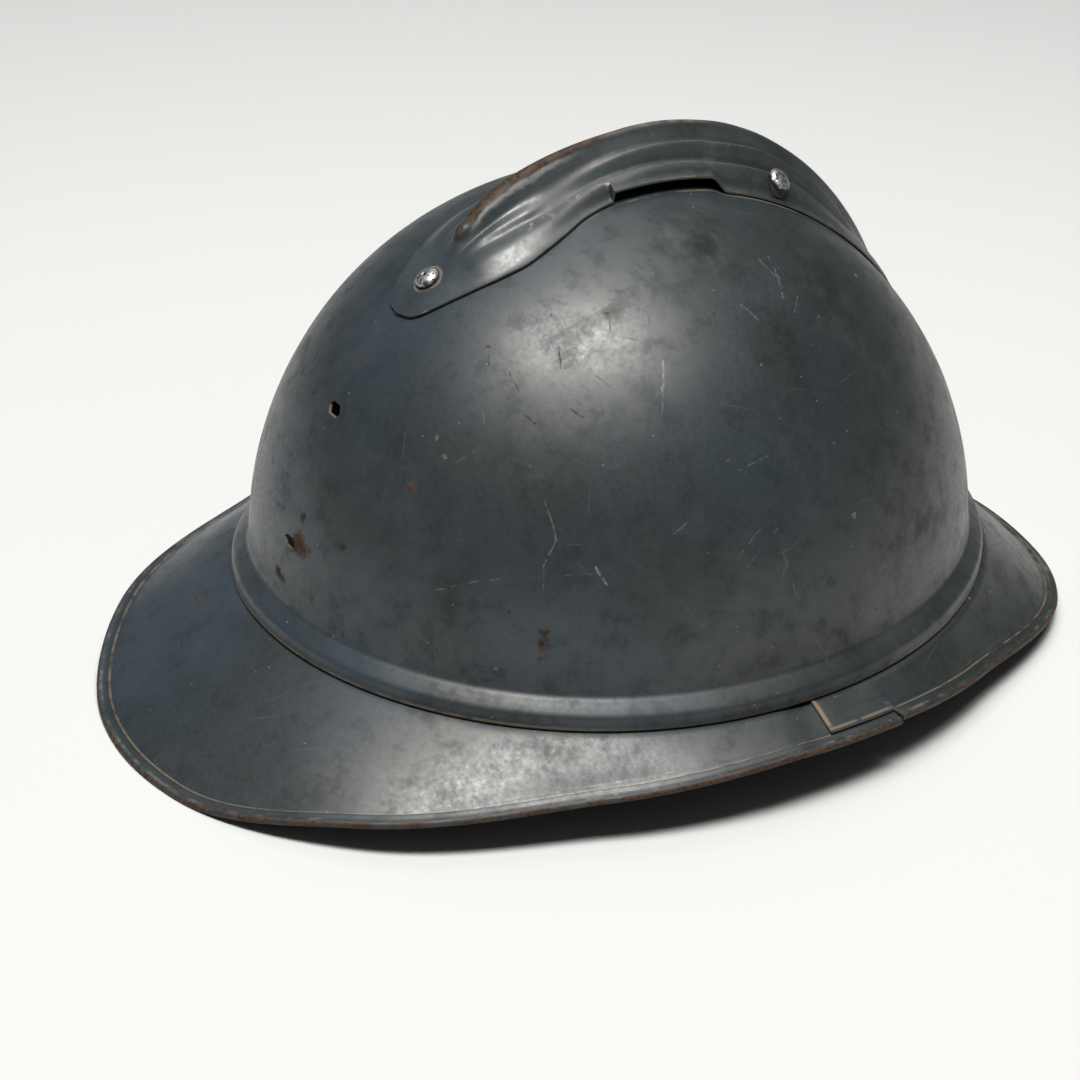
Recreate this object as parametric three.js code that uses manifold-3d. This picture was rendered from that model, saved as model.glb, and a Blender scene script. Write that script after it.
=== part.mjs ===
// Crested steel infantry helmet: bowl with a rolled collar, front visor, neck guard, pressed crest and
// four rivets. Millimetres, +Z up, the front towards -Y, resting on the floor at z = 0. The origin is
// the centre of the footprint's box.
import * as THREE from 'three';
import Module from 'manifold-3d';
import { mergeVertices } from 'three/addons/utils/BufferGeometryUtils.js';

// Sheet and fits
const SHEET = 0.7;               // steel sheet thickness
const GAP = 0.3;                 // clearance between pieces that meet

// Bowl, outside sizes
const FRONT_REACH = 108.2;       // from the bowl's centre line to its front, at the foot
const REAR_REACH = 109.7;        // the same, to its rear
const HALF_WIDTH = 94.4;
const FOOT_HEIGHT = 33.2;        // height at which the dome begins
const DOME_RISE = 108.1;         // from there to the top
const PLAN_FULLNESS = 2.05;      // exponent of the oval in plan, 2 is an ellipse
const FRONT_FULLNESS = 2.07;     // exponent of the dome's section at the front
const REAR_FULLNESS = 1.92;      // and at the rear

// Rolled collar round the bowl's foot
const COLLAR_OUT = 5.05;         // how far it stands out from the bowl
const COLLAR_TALL = 10.4;
const COLLAR_LIP_HEIGHT = 26.7;  // mean height of its lower lip
const COLLAR_SADDLE = 1.95;      // it is higher than that at the ends and lower at the sides

// Brim, made of the visor and the neck guard
const VISOR_REACH = 48.9;        // overhang beyond the bowl at the front
const SIDE_REACH = 18.6;         // at the sides
const GUARD_REACH = 35.3;        // at the rear
const SIDE_LIFT = 17.4;          // how far the edge rises at the sides
const BRIM_CROWN = 1.0;          // outward bow of the visor plate between collar and edge
const HEM_WIDTH = 4.1;           // width of the folded edge
const HEM_THICK = 2.2;           // thickness of its rounded rim
const HEM_STEP = 0.75;           // height of the fold's inner edge above the plate
const FLAT_STEP = 0.07;          // the same where the plate ends plain
const EDGE_WEAR = 0.35;          // depth of the flat worn under the rim at the front and rear
const LAP_START_DEG = 90;        // the neck guard's front edge, from the front of the helmet
const LAP_END_DEG = 100.5;       // the visor's rear edge
const JOGGLE_DEG = 5;            // stretch over which the visor dips under the neck guard
const LAP_CLEAR_DEG = 1;         // the dip ends this far ahead of the neck guard's front edge
const HEM_CLEAR_DEG = 0.3;       // and the neck guard's hem starts this far behind the visor's
const GUARD_SET_IN = 0.9;        // the neck guard's hem starts this far inside the visor's
const SET_IN_FADE_DEG = 26;      // and has run out to the full outline after this stretch
const REST_ARC_DEG = 8;          // the rim lies on the floor this far to each side of its two ends

// Slots for the badge, on the front centre line
const SLOT_HEIGHT = 3.2;
const SLOT_WIDTH = 6.2;
const UPPER_SLOT_RISE = 58.9;    // above the dome's base
const LOWER_SLOT_RISE = 22.1;

// Crest
const CREST_HEIGHT = 14.3;       // ridge above the flange
const CREST_HALF_WIDTH = 19.2;
const CREST_FRONT_DEG = -41.1;   // front tip, from the top, turning about the centre of the bowl
const CREST_REAR_DEG = 70;       // rear tip
const NOTCH_RISE = 2.9;          // the vent notch lifts the crest's foot by this
const NOTCH_FRONT_DEG = -6.3;
const NOTCH_REAR_DEG = 11;
const NOTCH_FRONT_RAMP_DEG = 0.4;
const NOTCH_REAR_RAMP_DEG = 2.4;
const VENT_LENGTH = 44;          // opening in the bowl's top under the crest
const VENT_WIDTH = 12;
const VENT_CENTRE_DEG = 2.4;

// Rivets
const RIVET_HEAD_RADIUS = 3.5;
const RIVET_HEAD_RISE = 1.9;
const RIVET_DIMPLE = 0.5;        // radius and depth of the small hole in the head's middle
const RIVET_SHANK_RADIUS = 1.5;
const RIVET_TAIL_RADIUS = 2.6;
const RIVET_TAIL_THICK = 0.8;
const FRONT_RIVET_DEG = -34.7;
const REAR_RIVET_DEG = 63.5;
const SIDE_RIVET_DEG = 23.6;
const SIDE_RIVET_OUT = 11.4;     // from the centre plane

// Facets
const BOWL_COLUMNS = 54;
const DOME_RINGS = 12;
const INNER_RINGS = 9;
const BRIM_STEP_DEG = 7;
const CREST_STEP_DEG = 3.8;
const ROUND_SIDES = 10;
const RIM_STEPS = 5;             // facets round the hem's rim
// How far the middles of the bowl's flat facets lie inside its true curve
const FACET_SAG = DOME_RISE
  * (2 - Math.cos(Math.PI / 4 / (INNER_RINGS + 1)) - Math.cos(Math.PI / BOWL_COLUMNS));

const STEEL = { color: 0x46525a, roughness: 0.42, metalness: 0.35 };
const ALUMINIUM = { color: 0xb9bcbc, roughness: 0.35, metalness: 0.9 };

const RAD = Math.PI / 180;
const { abs, cos, sin, pow, min, max, sign, hypot, ceil } = Math;

// The collar's outside: shares of COLLAR_OUT outwards and of COLLAR_TALL above the lip
const COLLAR_SHAPE = [
  { out: 1.00, up: 0.00 },
  { out: 1.00, up: 0.10 },
  { out: 0.99, up: 0.22 },
  { out: 0.91, up: 0.38 },
  { out: 0.71, up: 0.56 },
  { out: 0.45, up: 0.69 },
  { out: 0.19, up: 0.79 },
  { out: 0.05, up: 0.90 },
  { out: 0.00, up: 1.00 },
];
const FLANGE_POINTS = 5;         // the brim's inner flange follows this many of them, past the first
const PLATE_SHARES = [0.33, 0.67, 1];   // points across the brim plate

// The brim's edge round one side. frontGain and rearGain are shares of what the front and rear overhangs
// add to the side one, lift is a share of SIDE_LIFT.
const BRIM_EDGE = [
  { deg: 0, frontGain: 1.00, rearGain: 0, lift: 0.00 },
  { deg: 8, frontGain: 0.97, rearGain: 0, lift: 0.00 },
  { deg: 30, frontGain: 0.64, rearGain: 0, lift: 0.47 },
  { deg: 60, frontGain: 0.06, rearGain: 0, lift: 0.78 },
  { deg: 90, frontGain: 0.00, rearGain: 0, lift: 1.00 },
  { deg: 120, frontGain: 0, rearGain: -0.11, lift: 0.66 },
  { deg: 150, frontGain: 0, rearGain: 0.70, lift: 0.27 },
  { deg: 172, frontGain: 0, rearGain: 0.98, lift: 0.00 },
  { deg: 180, frontGain: 0, rearGain: 1.00, lift: 0.00 },
];

// The crest's outline: share of the way from the top to the front tip (negative) or rear tip, and the
// half width as a share of CREST_HALF_WIDTH
const CREST_OUTLINE = [
  { along: -1.000, half: 0.06 },
  { along: -0.990, half: 0.24 },
  { along: -0.960, half: 0.39 },
  { along: -0.900, half: 0.54 },
  { along: -0.780, half: 0.77 },
  { along: -0.660, half: 0.94 },
  { along: -0.570, half: 1.00 },
  { along: -0.480, half: 0.96 },
  { along: -0.400, half: 0.89 },
  { along: -0.270, half: 0.73 },
  { along: -0.150, half: 0.655 },
  { along: 0.150, half: 0.655 },
  { along: 0.195, half: 0.78 },
  { along: 0.290, half: 0.80 },
  { along: 0.390, half: 0.83 },
  { along: 0.500, half: 0.88 },
  { along: 0.600, half: 0.86 },
  { along: 0.700, half: 0.78 },
  { along: 0.800, half: 0.70 },
  { along: 0.860, half: 0.64 },
  { along: 0.910, half: 0.56 },
  { along: 0.960, half: 0.41 },
  { along: 0.990, half: 0.24 },
  { along: 1.000, half: 0.06 },
];

// The crest's moulding, half a section in each row from the ridge outwards. X columns are shares of
// CREST_HALF_WIDTH from the centre plane, H columns shares of CREST_HEIGHT above the flange.
const MOULDING_COLUMNS = ['along', 'ridgeH', 'shoulderX', 'shoulderH', 'valley1X', 'valley1H', 'rib1X',
  'rib1H', 'valley2X', 'valley2H', 'rib2X', 'rib2H', 'footX', 'footH'];
const MOULDING = [
  [-1.00, 0.01, 0.10, 0.01, 0.18, 0.01, 0.26, 0.01, 0.36, 0.01, 0.47, 0.01, 0.57, 0.005],
  [-0.81, 0.03, 0.10, 0.03, 0.18, 0.03, 0.25, 0.03, 0.34, 0.03, 0.47, 0.02, 0.57, 0.01],
  [-0.75, 0.10, 0.10, 0.10, 0.17, 0.095, 0.24, 0.09, 0.33, 0.08, 0.52, 0.05, 0.70, 0.02],
  [-0.70, 0.28, 0.115, 0.23, 0.18, 0.18, 0.26, 0.17, 0.36, 0.15, 0.57, 0.12, 0.78, 0.04],
  [-0.64, 0.46, 0.125, 0.37, 0.20, 0.25, 0.30, 0.25, 0.41, 0.19, 0.64, 0.15, 0.86, 0.04],
  [-0.55, 0.66, 0.14, 0.55, 0.22, 0.33, 0.36, 0.30, 0.46, 0.20, 0.67, 0.16, 0.875, 0.04],
  [-0.39, 0.82, 0.155, 0.69, 0.24, 0.44, 0.405, 0.305, 0.49, 0.185, 0.655, 0.155, 0.79, 0.04],
  [-0.22, 0.89, 0.165, 0.76, 0.25, 0.555, 0.385, 0.43, 0.46, 0.275, 0.585, 0.225, 0.64, 0.06],
  [-0.05, 0.935, 0.17, 0.81, 0.255, 0.645, 0.345, 0.60, 0.44, 0.36, 0.53, 0.345, 0.62, 0.06],
  [0.10, 1.00, 0.175, 0.86, 0.255, 0.69, 0.335, 0.68, 0.43, 0.395, 0.51, 0.39, 0.62, 0.06],
  [0.19, 1.00, 0.175, 0.87, 0.255, 0.70, 0.335, 0.69, 0.43, 0.39, 0.515, 0.385, 0.73, 0.045],
  [0.29, 0.945, 0.175, 0.83, 0.255, 0.69, 0.335, 0.695, 0.43, 0.375, 0.515, 0.375, 0.75, 0.045],
  [0.39, 0.83, 0.17, 0.73, 0.25, 0.57, 0.33, 0.565, 0.43, 0.325, 0.52, 0.325, 0.78, 0.045],
  [0.465, 0.73, 0.165, 0.64, 0.245, 0.50, 0.325, 0.485, 0.43, 0.25, 0.53, 0.23, 0.81, 0.04],
  [0.57, 0.56, 0.155, 0.485, 0.23, 0.345, 0.31, 0.31, 0.43, 0.15, 0.55, 0.12, 0.83, 0.03],
  [0.665, 0.395, 0.145, 0.33, 0.21, 0.215, 0.29, 0.165, 0.41, 0.11, 0.57, 0.08, 0.83, 0.02],
  [0.757, 0.225, 0.125, 0.185, 0.19, 0.135, 0.27, 0.13, 0.385, 0.10, 0.57, 0.075, 0.78, 0.02],
  [0.82, 0.11, 0.105, 0.11, 0.17, 0.095, 0.25, 0.09, 0.355, 0.075, 0.52, 0.05, 0.70, 0.015],
  [0.89, 0.03, 0.10, 0.03, 0.18, 0.03, 0.25, 0.03, 0.34, 0.03, 0.47, 0.02, 0.57, 0.01],
  [1.00, 0.01, 0.10, 0.01, 0.18, 0.01, 0.26, 0.01, 0.36, 0.01, 0.47, 0.01, 0.57, 0.005],
];
// Towards the tips each point of the moulding stays within this share of the local half width. The inside
// follows only the points marked inside.
const MOULDING_POINTS = [
  { name: 'shoulder', limit: 0.14, inside: true },
  { name: 'valley1', limit: 0.28, inside: true },
  { name: 'rib1', limit: 0.42, inside: false },
  { name: 'valley2', limit: 0.57, inside: true },
  { name: 'rib2', limit: 0.73, inside: false },
  { name: 'foot', limit: 0.88, inside: true },
];
const RIDGE_ROUND = { out: 0.6, up: 0.72 };   // a point between shoulder and ridge
const EDGE_TUCK = 0.985;         // the edge's lower corner as a share of the half width

// A rivet's head: shares of its radius and rise
const RIVET_HEAD_SHAPE = [
  { out: 1.00, up: 0.00 },
  { out: 0.93, up: 0.45 },
  { out: 0.60, up: 0.85 },
];

const wasm = await Module();
wasm.setup();

// Numbers and curves

function lerp(a, b, t) {
  return a + (b - a) * t;
}

function smooth(t) {
  const s = min(max(t, 0), 1);
  return s * s * (3 - 2 * s);
}

// Values between the rows of a table that is sorted by its key column, on a curve through the rows that
// never swings beyond two neighbours' range.
function tableValue(rows, key, column, at) {
  const last = rows.length - 1;
  if (at <= rows[0][key]) return rows[0][column];
  if (at >= rows[last][key]) return rows[last][column];
  let i = 0;
  while (rows[i + 1][key] < at) i += 1;
  const rise = (k) => (rows[k + 1][column] - rows[k][column]) / (rows[k + 1][key] - rows[k][key]);
  const slope = (k) => {
    if (k === 0 || k === last) return 0;
    const a = rise(k - 1);
    const b = rise(k);
    return a * b > 0 ? (2 * a * b) / (a + b) : 0;
  };
  const width = rows[i + 1][key] - rows[i][key];
  const t = (at - rows[i][key]) / width;
  const t2 = t * t;
  const t3 = t2 * t;
  return (2 * t3 - 3 * t2 + 1) * rows[i][column] + (t3 - 2 * t2 + t) * width * slope(i)
    + (3 * t2 - 2 * t3) * rows[i + 1][column] + (t3 - t2) * width * slope(i + 1);
}

// Moves a line of [x, y] points sideways by a distance, to its left where the distance is positive
function offsetLine(points, distance) {
  return points.map((p, i) => {
    const a = points[max(i - 1, 0)];
    const b = points[min(i + 1, points.length - 1)];
    const length = hypot(b[0] - a[0], b[1] - a[1]);
    return [p[0] - ((b[1] - a[1]) / length) * distance, p[1] + ((b[0] - a[0]) / length) * distance];
  });
}

// Bowl surface. Angles round the helmet run from the front, over its left side (+X), to the rear.

function planPoint(angle, out) {
  const s = sin(angle);
  const c = cos(angle);
  const reach = c > 0 ? FRONT_REACH : REAR_REACH;
  const power = 2 / PLAN_FULLNESS;
  const x = HALF_WIDTH * sign(s) * pow(abs(s), power);
  const y = -reach * sign(c) * pow(abs(c), power);
  const nx = (sign(x) * pow(abs(x) / HALF_WIDTH, PLAN_FULLNESS - 1)) / HALF_WIDTH;
  const ny = (sign(y) * pow(abs(y) / reach, PLAN_FULLNESS - 1)) / reach;
  const n = hypot(nx, ny);
  return [x + (nx / n) * out, y + (ny / n) * out];
}

function sectionFullness(angle) {
  return lerp(REAR_FULLNESS, FRONT_FULLNESS, 0.5 + 0.5 * cos(angle));
}

// A point on the dome at a height angle from 0 at its foot to 90 degrees at the top. Depth is measured
// inwards from the outside.
function domePoint(angle, climb, depth) {
  const power = 2 / sectionFullness(angle);
  const share = pow(max(cos(climb), 0), power);
  const [x, y] = planPoint(angle, -depth);
  return [x * share, y * share, FOOT_HEIGHT + (DOME_RISE - depth) * pow(sin(climb), power)];
}

// The height angle at which the dome reaches a height
function climbAt(angle, z) {
  return Math.asin(pow(max(z - FOOT_HEIGHT, 0) / DOME_RISE, sectionFullness(angle) / 2));
}

// Distance from the bowl's centre, at foot height, to its outside, in a plane turned by lean from the
// vertical about the left to right axis, at x from the centre plane
function domeRadius(lean, x) {
  let low = 0;
  let high = 2 * max(DOME_RISE, REAR_REACH, FRONT_REACH);
  for (let i = 0; i < 40; i += 1) {
    const r = (low + high) / 2;
    const y = r * sin(lean);
    const z = r * cos(lean);
    const reach = y < 0 ? FRONT_REACH : REAR_REACH;
    const plan = pow(pow(abs(x) / HALF_WIDTH, PLAN_FULLNESS) + pow(abs(y) / reach, PLAN_FULLNESS),
      1 / PLAN_FULLNESS);
    const facing = -(y / reach) / max(hypot(x / HALF_WIDTH, y / reach), 1e-9);
    const m = lerp(REAR_FULLNESS, FRONT_FULLNESS, 0.5 + 0.5 * facing);
    if (pow(plan, m) + pow(max(z, 0) / DOME_RISE, m) > 1) high = r;
    else low = r;
  }
  return low;
}

// A point over the dome, height above its outside in the direction of lean
function overDome(leanDeg, x, height) {
  const lean = leanDeg * RAD;
  const r = domeRadius(lean, x) + height;
  return [x, r * sin(lean), FOOT_HEIGHT + r * cos(lean)];
}

function collarLip(angle) {
  return COLLAR_LIP_HEIGHT + COLLAR_SADDLE * cos(2 * angle);
}

// Solids

function toManifold(geometry) {
  const bare = geometry.clone();
  bare.deleteAttribute('normal');
  bare.deleteAttribute('uv');
  const merged = mergeVertices(bare, 1e-5);
  return new wasm.Manifold(new wasm.Mesh({
    numProp: 3,
    vertProperties: Float32Array.from(merged.attributes.position.array),
    triVerts: Uint32Array.from(merged.index.array),
  }));
}

function toGeometry(solid) {
  const mesh = solid.getMesh();
  const geometry = new THREE.BufferGeometry();
  geometry.setAttribute('position', new THREE.BufferAttribute(mesh.vertProperties, 3));
  geometry.setIndex(new THREE.BufferAttribute(mesh.triVerts, 1));
  geometry.computeVertexNormals();
  return geometry;
}

// A closed body through equal loops of points. closed joins the last loop to the first, otherwise both
// ends get a flat cap.
function loftLoops(loops, closed) {
  const count = loops[0].length;
  const index = [];
  const rows = closed ? loops.length : loops.length - 1;
  for (let i = 0; i < rows; i += 1) {
    const a = i * count;
    const b = ((i + 1) % loops.length) * count;
    for (let j = 0; j < count; j += 1) {
      const k = (j + 1) % count;
      index.push(a + j, b + j, b + k, a + j, b + k, a + k);
    }
  }
  if (!closed) {
    capLoop(loops[0], 0, index, true);
    capLoop(loops[loops.length - 1], (loops.length - 1) * count, index, false);
  }
  const geometry = new THREE.BufferGeometry();
  geometry.setAttribute('position', new THREE.Float32BufferAttribute(loops.flat(2), 3));
  geometry.setIndex(index);
  return facingOut(geometry);
}

function capLoop(loop, start, index, first) {
  const origin = new THREE.Vector3(...loop[0]);
  const normal = new THREE.Vector3();
  loop.forEach((p, i) => {
    const a = new THREE.Vector3(...p);
    const b = new THREE.Vector3(...loop[(i + 1) % loop.length]);
    normal.add(a.cross(b));
  });
  const u = new THREE.Vector3(...loop[1]).sub(origin).normalize();
  normal.normalize();
  const v = normal.clone().cross(u);
  const flat = loop.map((p) => {
    const d = new THREE.Vector3(...p).sub(origin);
    return new THREE.Vector2(d.dot(u), d.dot(v));
  });
  for (const [a, b, c] of THREE.ShapeUtils.triangulateShape(flat, [])) {
    if (first) index.push(start + a, start + b, start + c);
    else index.push(start + a, start + c, start + b);
  }
}

function facingOut(geometry) {
  const p = geometry.attributes.position;
  const index = geometry.index.array;
  let volume = 0;
  const [a, b, c] = [new THREE.Vector3(), new THREE.Vector3(), new THREE.Vector3()];
  for (let i = 0; i < index.length; i += 3) {
    a.fromBufferAttribute(p, index[i]);
    b.fromBufferAttribute(p, index[i + 1]);
    c.fromBufferAttribute(p, index[i + 2]);
    volume += a.dot(b.cross(c));
  }
  if (volume < 0) {
    for (let i = 0; i < index.length; i += 3) [index[i], index[i + 1]] = [index[i + 1], index[i]];
  }
  return geometry;
}

// A cutter or shank along the line from a point under the dome to one over it
function placedAlong(geometry, leanDeg, x) {
  const foot = new THREE.Vector3(...overDome(leanDeg, x, 0));
  geometry.rotateX(Math.PI / 2);
  geometry.applyQuaternion(new THREE.Quaternion().setFromUnitVectors(
    new THREE.Vector3(0, 0, 1), rivetAxis(leanDeg, x)));
  geometry.translate(foot.x, foot.y, foot.z);
  return geometry;
}

// The dome's outward direction where a rivet goes through
function rivetAxis(leanDeg, x) {
  const step = 0.5;
  const at = (deg, side) => new THREE.Vector3(...overDome(deg, side, 0));
  const along = at(leanDeg + step, x).sub(at(leanDeg - step, x));
  const across = at(leanDeg, x + step).sub(at(leanDeg, x - step));
  return across.cross(along).normalize();
}

// Bowl

function bowlColumn(angle) {
  const lip = collarLip(angle);
  const collar = COLLAR_SHAPE.map((row) => [row.out * COLLAR_OUT, lip + row.up * COLLAR_TALL]);
  const inside = offsetLine(collar, SHEET).reverse();
  const top = lip + COLLAR_TALL;
  const start = climbAt(angle, top);
  const gather = domePoint(angle, start, 0);
  const foot = planPoint(angle, 0);
  const draw = hypot(gather[0], gather[1]) / hypot(foot[0], foot[1]);
  const ring = ([out, z], depth) => {
    const [x, y] = planPoint(angle, out);
    const pull = lerp(1, draw, smooth((z - lip) / COLLAR_TALL));
    return [x * pull, y * pull, z - depth];
  };
  const column = collar.slice(0, -1).map((p) => ring(p, 0));
  for (let i = 0; i <= DOME_RINGS; i += 1) {
    column.push(domePoint(angle, lerp(start, Math.PI / 2, i / (DOME_RINGS + 1)), 0));
  }
  const shell = [];
  for (let i = 0; i <= INNER_RINGS; i += 1) {
    shell.push(domePoint(angle, lerp(start, Math.PI / 2, i / (INNER_RINGS + 1)), SHEET));
  }
  column.push(...shell.reverse());
  column.push(...inside.slice(1).map((p) => ring(p, 0)));
  return column;
}

// The columns close on themselves at both poles, so the dome's two tops are fans round one point each
function bowlShell() {
  const columns = [];
  for (let i = 0; i < BOWL_COLUMNS; i += 1) columns.push(bowlColumn((i / BOWL_COLUMNS) * 2 * Math.PI));
  const count = columns[0].length;
  const outerTop = COLLAR_SHAPE.length - 1 + DOME_RINGS;
  const points = columns.flat();
  const topOutside = points.length;
  points.push([0, 0, FOOT_HEIGHT + DOME_RISE]);
  const topInside = points.length;
  points.push([0, 0, FOOT_HEIGHT + DOME_RISE - SHEET]);
  const index = [];
  for (let i = 0; i < BOWL_COLUMNS; i += 1) {
    const a = i * count;
    const b = ((i + 1) % BOWL_COLUMNS) * count;
    for (let j = 0; j < count; j += 1) {
      const k = (j + 1) % count;
      if (j === outerTop) {
        index.push(a + j, b + j, topOutside, a + k, topInside, b + k);
      } else {
        index.push(a + j, b + j, b + k, a + j, b + k, a + k);
      }
    }
  }
  const geometry = new THREE.BufferGeometry();
  geometry.setAttribute('position', new THREE.Float32BufferAttribute(points.flat(), 3));
  geometry.setIndex(index);
  return facingOut(geometry);
}

// An oblong opening along the centre plane
function ventCutter() {
  const half = VENT_LENGTH / 2 - VENT_WIDTH / 2;
  const shape = new THREE.Shape();
  shape.absarc(0, half, VENT_WIDTH / 2, 0, Math.PI);
  shape.absarc(0, -half, VENT_WIDTH / 2, Math.PI, 2 * Math.PI);
  const depth = DOME_RISE / 3;
  const cutter = new THREE.ExtrudeGeometry(shape, { depth, bevelEnabled: false, curveSegments: 6 });
  const [, y, z] = overDome(VENT_CENTRE_DEG, 0, 0);
  cutter.translate(0, y, z - depth / 2);
  return cutter;
}

function slotCutter(rise) {
  const y = -FRONT_REACH * pow(1 - pow(rise / DOME_RISE, FRONT_FULLNESS), 1 / FRONT_FULLNESS);
  const cutter = new THREE.BoxGeometry(SLOT_WIDTH, FRONT_REACH / 3, SLOT_HEIGHT);
  cutter.translate(0, y, FOOT_HEIGHT + rise);
  return cutter;
}

const RIVETS = [
  { name: 'rivet_front', lean: FRONT_RIVET_DEG, x: 0 },
  { name: 'rivet_rear', lean: REAR_RIVET_DEG, x: 0 },
  { name: 'rivet_left', lean: SIDE_RIVET_DEG, x: SIDE_RIVET_OUT },
  { name: 'rivet_right', lean: SIDE_RIVET_DEG, x: -SIDE_RIVET_OUT },
];

function rivetHole(rivet) {
  const radius = RIVET_SHANK_RADIUS + GAP;
  const length = 2 * (CREST_HEIGHT + RIVET_HEAD_RADIUS);
  return placedAlong(new THREE.CylinderGeometry(radius, radius, length, ROUND_SIDES), rivet.lean, rivet.x);
}

function cutFrom(solid, cutters) {
  return cutters.reduce((left, cutter) => left.subtract(toManifold(cutter)), solid);
}

function makeBowl() {
  const cutters = [ventCutter(), slotCutter(UPPER_SLOT_RISE), slotCutter(LOWER_SLOT_RISE)];
  return toGeometry(cutFrom(toManifold(bowlShell()), [...cutters, ...RIVETS.map(rivetHole)]));
}

// Brim

function edgeOut(deg) {
  const front = tableValue(BRIM_EDGE, 'deg', 'frontGain', deg) * (VISOR_REACH - SIDE_REACH);
  const rear = tableValue(BRIM_EDGE, 'deg', 'rearGain', deg) * (GUARD_REACH - SIDE_REACH);
  return SIDE_REACH + front + rear;
}

// Height of the sheet's middle at the rim. The rim's rounding stands above it, and the wear takes its
// lowest part off where the helmet rests.
function edgeHeight(deg) {
  return SHEET / 2 - EDGE_WEAR + SIDE_LIFT * tableValue(BRIM_EDGE, 'deg', 'lift', deg);
}

// The middle of the sheet in section, from the top of the inner flange down and out to the rim's middle.
// trim ends it that far short of the rim.
function brimLine(deg, { setIn, trim }) {
  const lip = collarLip(deg * RAD);
  const collar = COLLAR_SHAPE.map((row) => [row.out * COLLAR_OUT, lip + row.up * COLLAR_TALL]);
  const inside = offsetLine(collar, SHEET * 1.5 + GAP).slice(1, 1 + FLANGE_POINTS).reverse();
  const bend = [inside[inside.length - 1][0], lip - SHEET - GAP];
  const foot = [COLLAR_OUT + SHEET, lip - SHEET * 1.5 - GAP];
  const rim = [edgeOut(deg) - setIn - HEM_THICK / 2, edgeHeight(deg)];
  const end = 1 - trim / hypot(rim[0] - foot[0], rim[1] - foot[1]);
  const plate = PLATE_SHARES.map((share) => {
    const t = share * end;
    const bow = BRIM_CROWN * 4 * t * (1 - t) * cos(deg * RAD);
    return [lerp(foot[0], rim[0], t), lerp(foot[1], rim[1], t) + bow];
  });
  return [...inside, bend, foot, ...plate];
}

// One closed section. drop lowers it under a sheet that laps over it, and a trimmed one has no hem.
function brimSection(deg, { drop = 0, setIn = 0, trim = 0 }) {
  const hem = trim === 0;
  const line = offsetLine(brimLine(deg, { setIn, trim }), -drop);
  const rim = line[line.length - 1];
  const before = line[line.length - 2];
  const slope = Math.atan2(rim[1] - before[1], rim[0] - before[0]);
  const away = [cos(slope), sin(slope)];
  const up = [-sin(slope), cos(slope)];
  const at = (along, rise) => [rim[0] + away[0] * along + up[0] * rise,
    rim[1] + away[1] * along + up[1] * rise];
  const sheet = line.slice(0, -1);
  const thick = hem ? HEM_THICK : SHEET;
  const base = -SHEET / 2 + thick / 2;
  const reach = HEM_THICK / 2 - thick / 2;
  const round = [];
  for (let i = 0; i <= RIM_STEPS; i += 1) {
    const turn = Math.PI / 2 - (Math.PI * i) / RIM_STEPS;
    round.push(at(reach + (thick / 2) * cos(turn), base + (thick / 2) * sin(turn)));
  }
  const fold = HEM_WIDTH - HEM_THICK / 2;
  const step = hem ? HEM_STEP : FLAT_STEP;
  return [
    ...offsetLine(sheet, SHEET / 2),
    at(-fold - GAP, SHEET / 2),
    at(-fold, SHEET / 2 + step),
    ...round,
    ...offsetLine(sheet, -SHEET / 2).reverse(),
  ];
}

function brimLoop(deg, options) {
  const folded = deg > 180 ? 360 - deg : abs(deg);
  return brimSection(folded, options).map(([out, z]) => {
    const [x, y] = planPoint(deg * RAD, out);
    return [x, y, max(z, 0)];
  });
}

// Equally spread angles between two ends, no further apart than the brim's step
function spread(from, to) {
  const count = ceil((to - from) / BRIM_STEP_DEG);
  return Array.from({ length: count + 1 }, (_, i) => lerp(from, to, i / count));
}

function makeVisor() {
  const dipEnd = LAP_START_DEG - LAP_CLEAR_DEG;
  const dipStart = dipEnd - JOGGLE_DEG;
  const side = [...spread(REST_ARC_DEG, dipStart), ...spread(dipEnd, LAP_END_DEG)];
  const angles = [...side.map((deg) => -deg).reverse(), 0, ...side];
  const loops = angles.map((deg) => {
    const dip = smooth((abs(deg) - dipStart) / (dipEnd - dipStart));
    return brimLoop(deg, { drop: (SHEET + GAP) * dip });
  });
  return loftLoops(loops, false);
}

function makeNeckGuard() {
  const hemStart = LAP_END_DEG + HEM_CLEAR_DEG;
  const side = [...spread(LAP_START_DEG, LAP_END_DEG), ...spread(hemStart, 180 - REST_ARC_DEG)];
  const angles = [...side, 180, ...side.map((deg) => 360 - deg).reverse()];
  const loops = angles.map((deg) => {
    const folded = deg > 180 ? 360 - deg : deg;
    const lapped = folded < hemStart;
    const fade = 1 - smooth((folded - hemStart) / SET_IN_FADE_DEG);
    return brimLoop(deg, lapped ? { trim: HEM_WIDTH + GAP } : { setIn: GUARD_SET_IN * fade });
  });
  return loftLoops(loops, false);
}

// Crest

const MOULDING_ROWS = MOULDING.map((row) => Object.fromEntries(
  MOULDING_COLUMNS.map((name, i) => [name, row[i]])));

function alongAt(leanDeg) {
  return leanDeg < 0 ? -leanDeg / CREST_FRONT_DEG : leanDeg / CREST_REAR_DEG;
}

function notchAt(leanDeg) {
  const front = (leanDeg - NOTCH_FRONT_DEG) / NOTCH_FRONT_RAMP_DEG;
  const rear = (NOTCH_REAR_DEG + NOTCH_REAR_RAMP_DEG - leanDeg) / NOTCH_REAR_RAMP_DEG;
  return min(smooth(front), smooth(rear));
}

const CREST_SEAT = GAP + SHEET;  // the flange's upper face above the bowl

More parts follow.
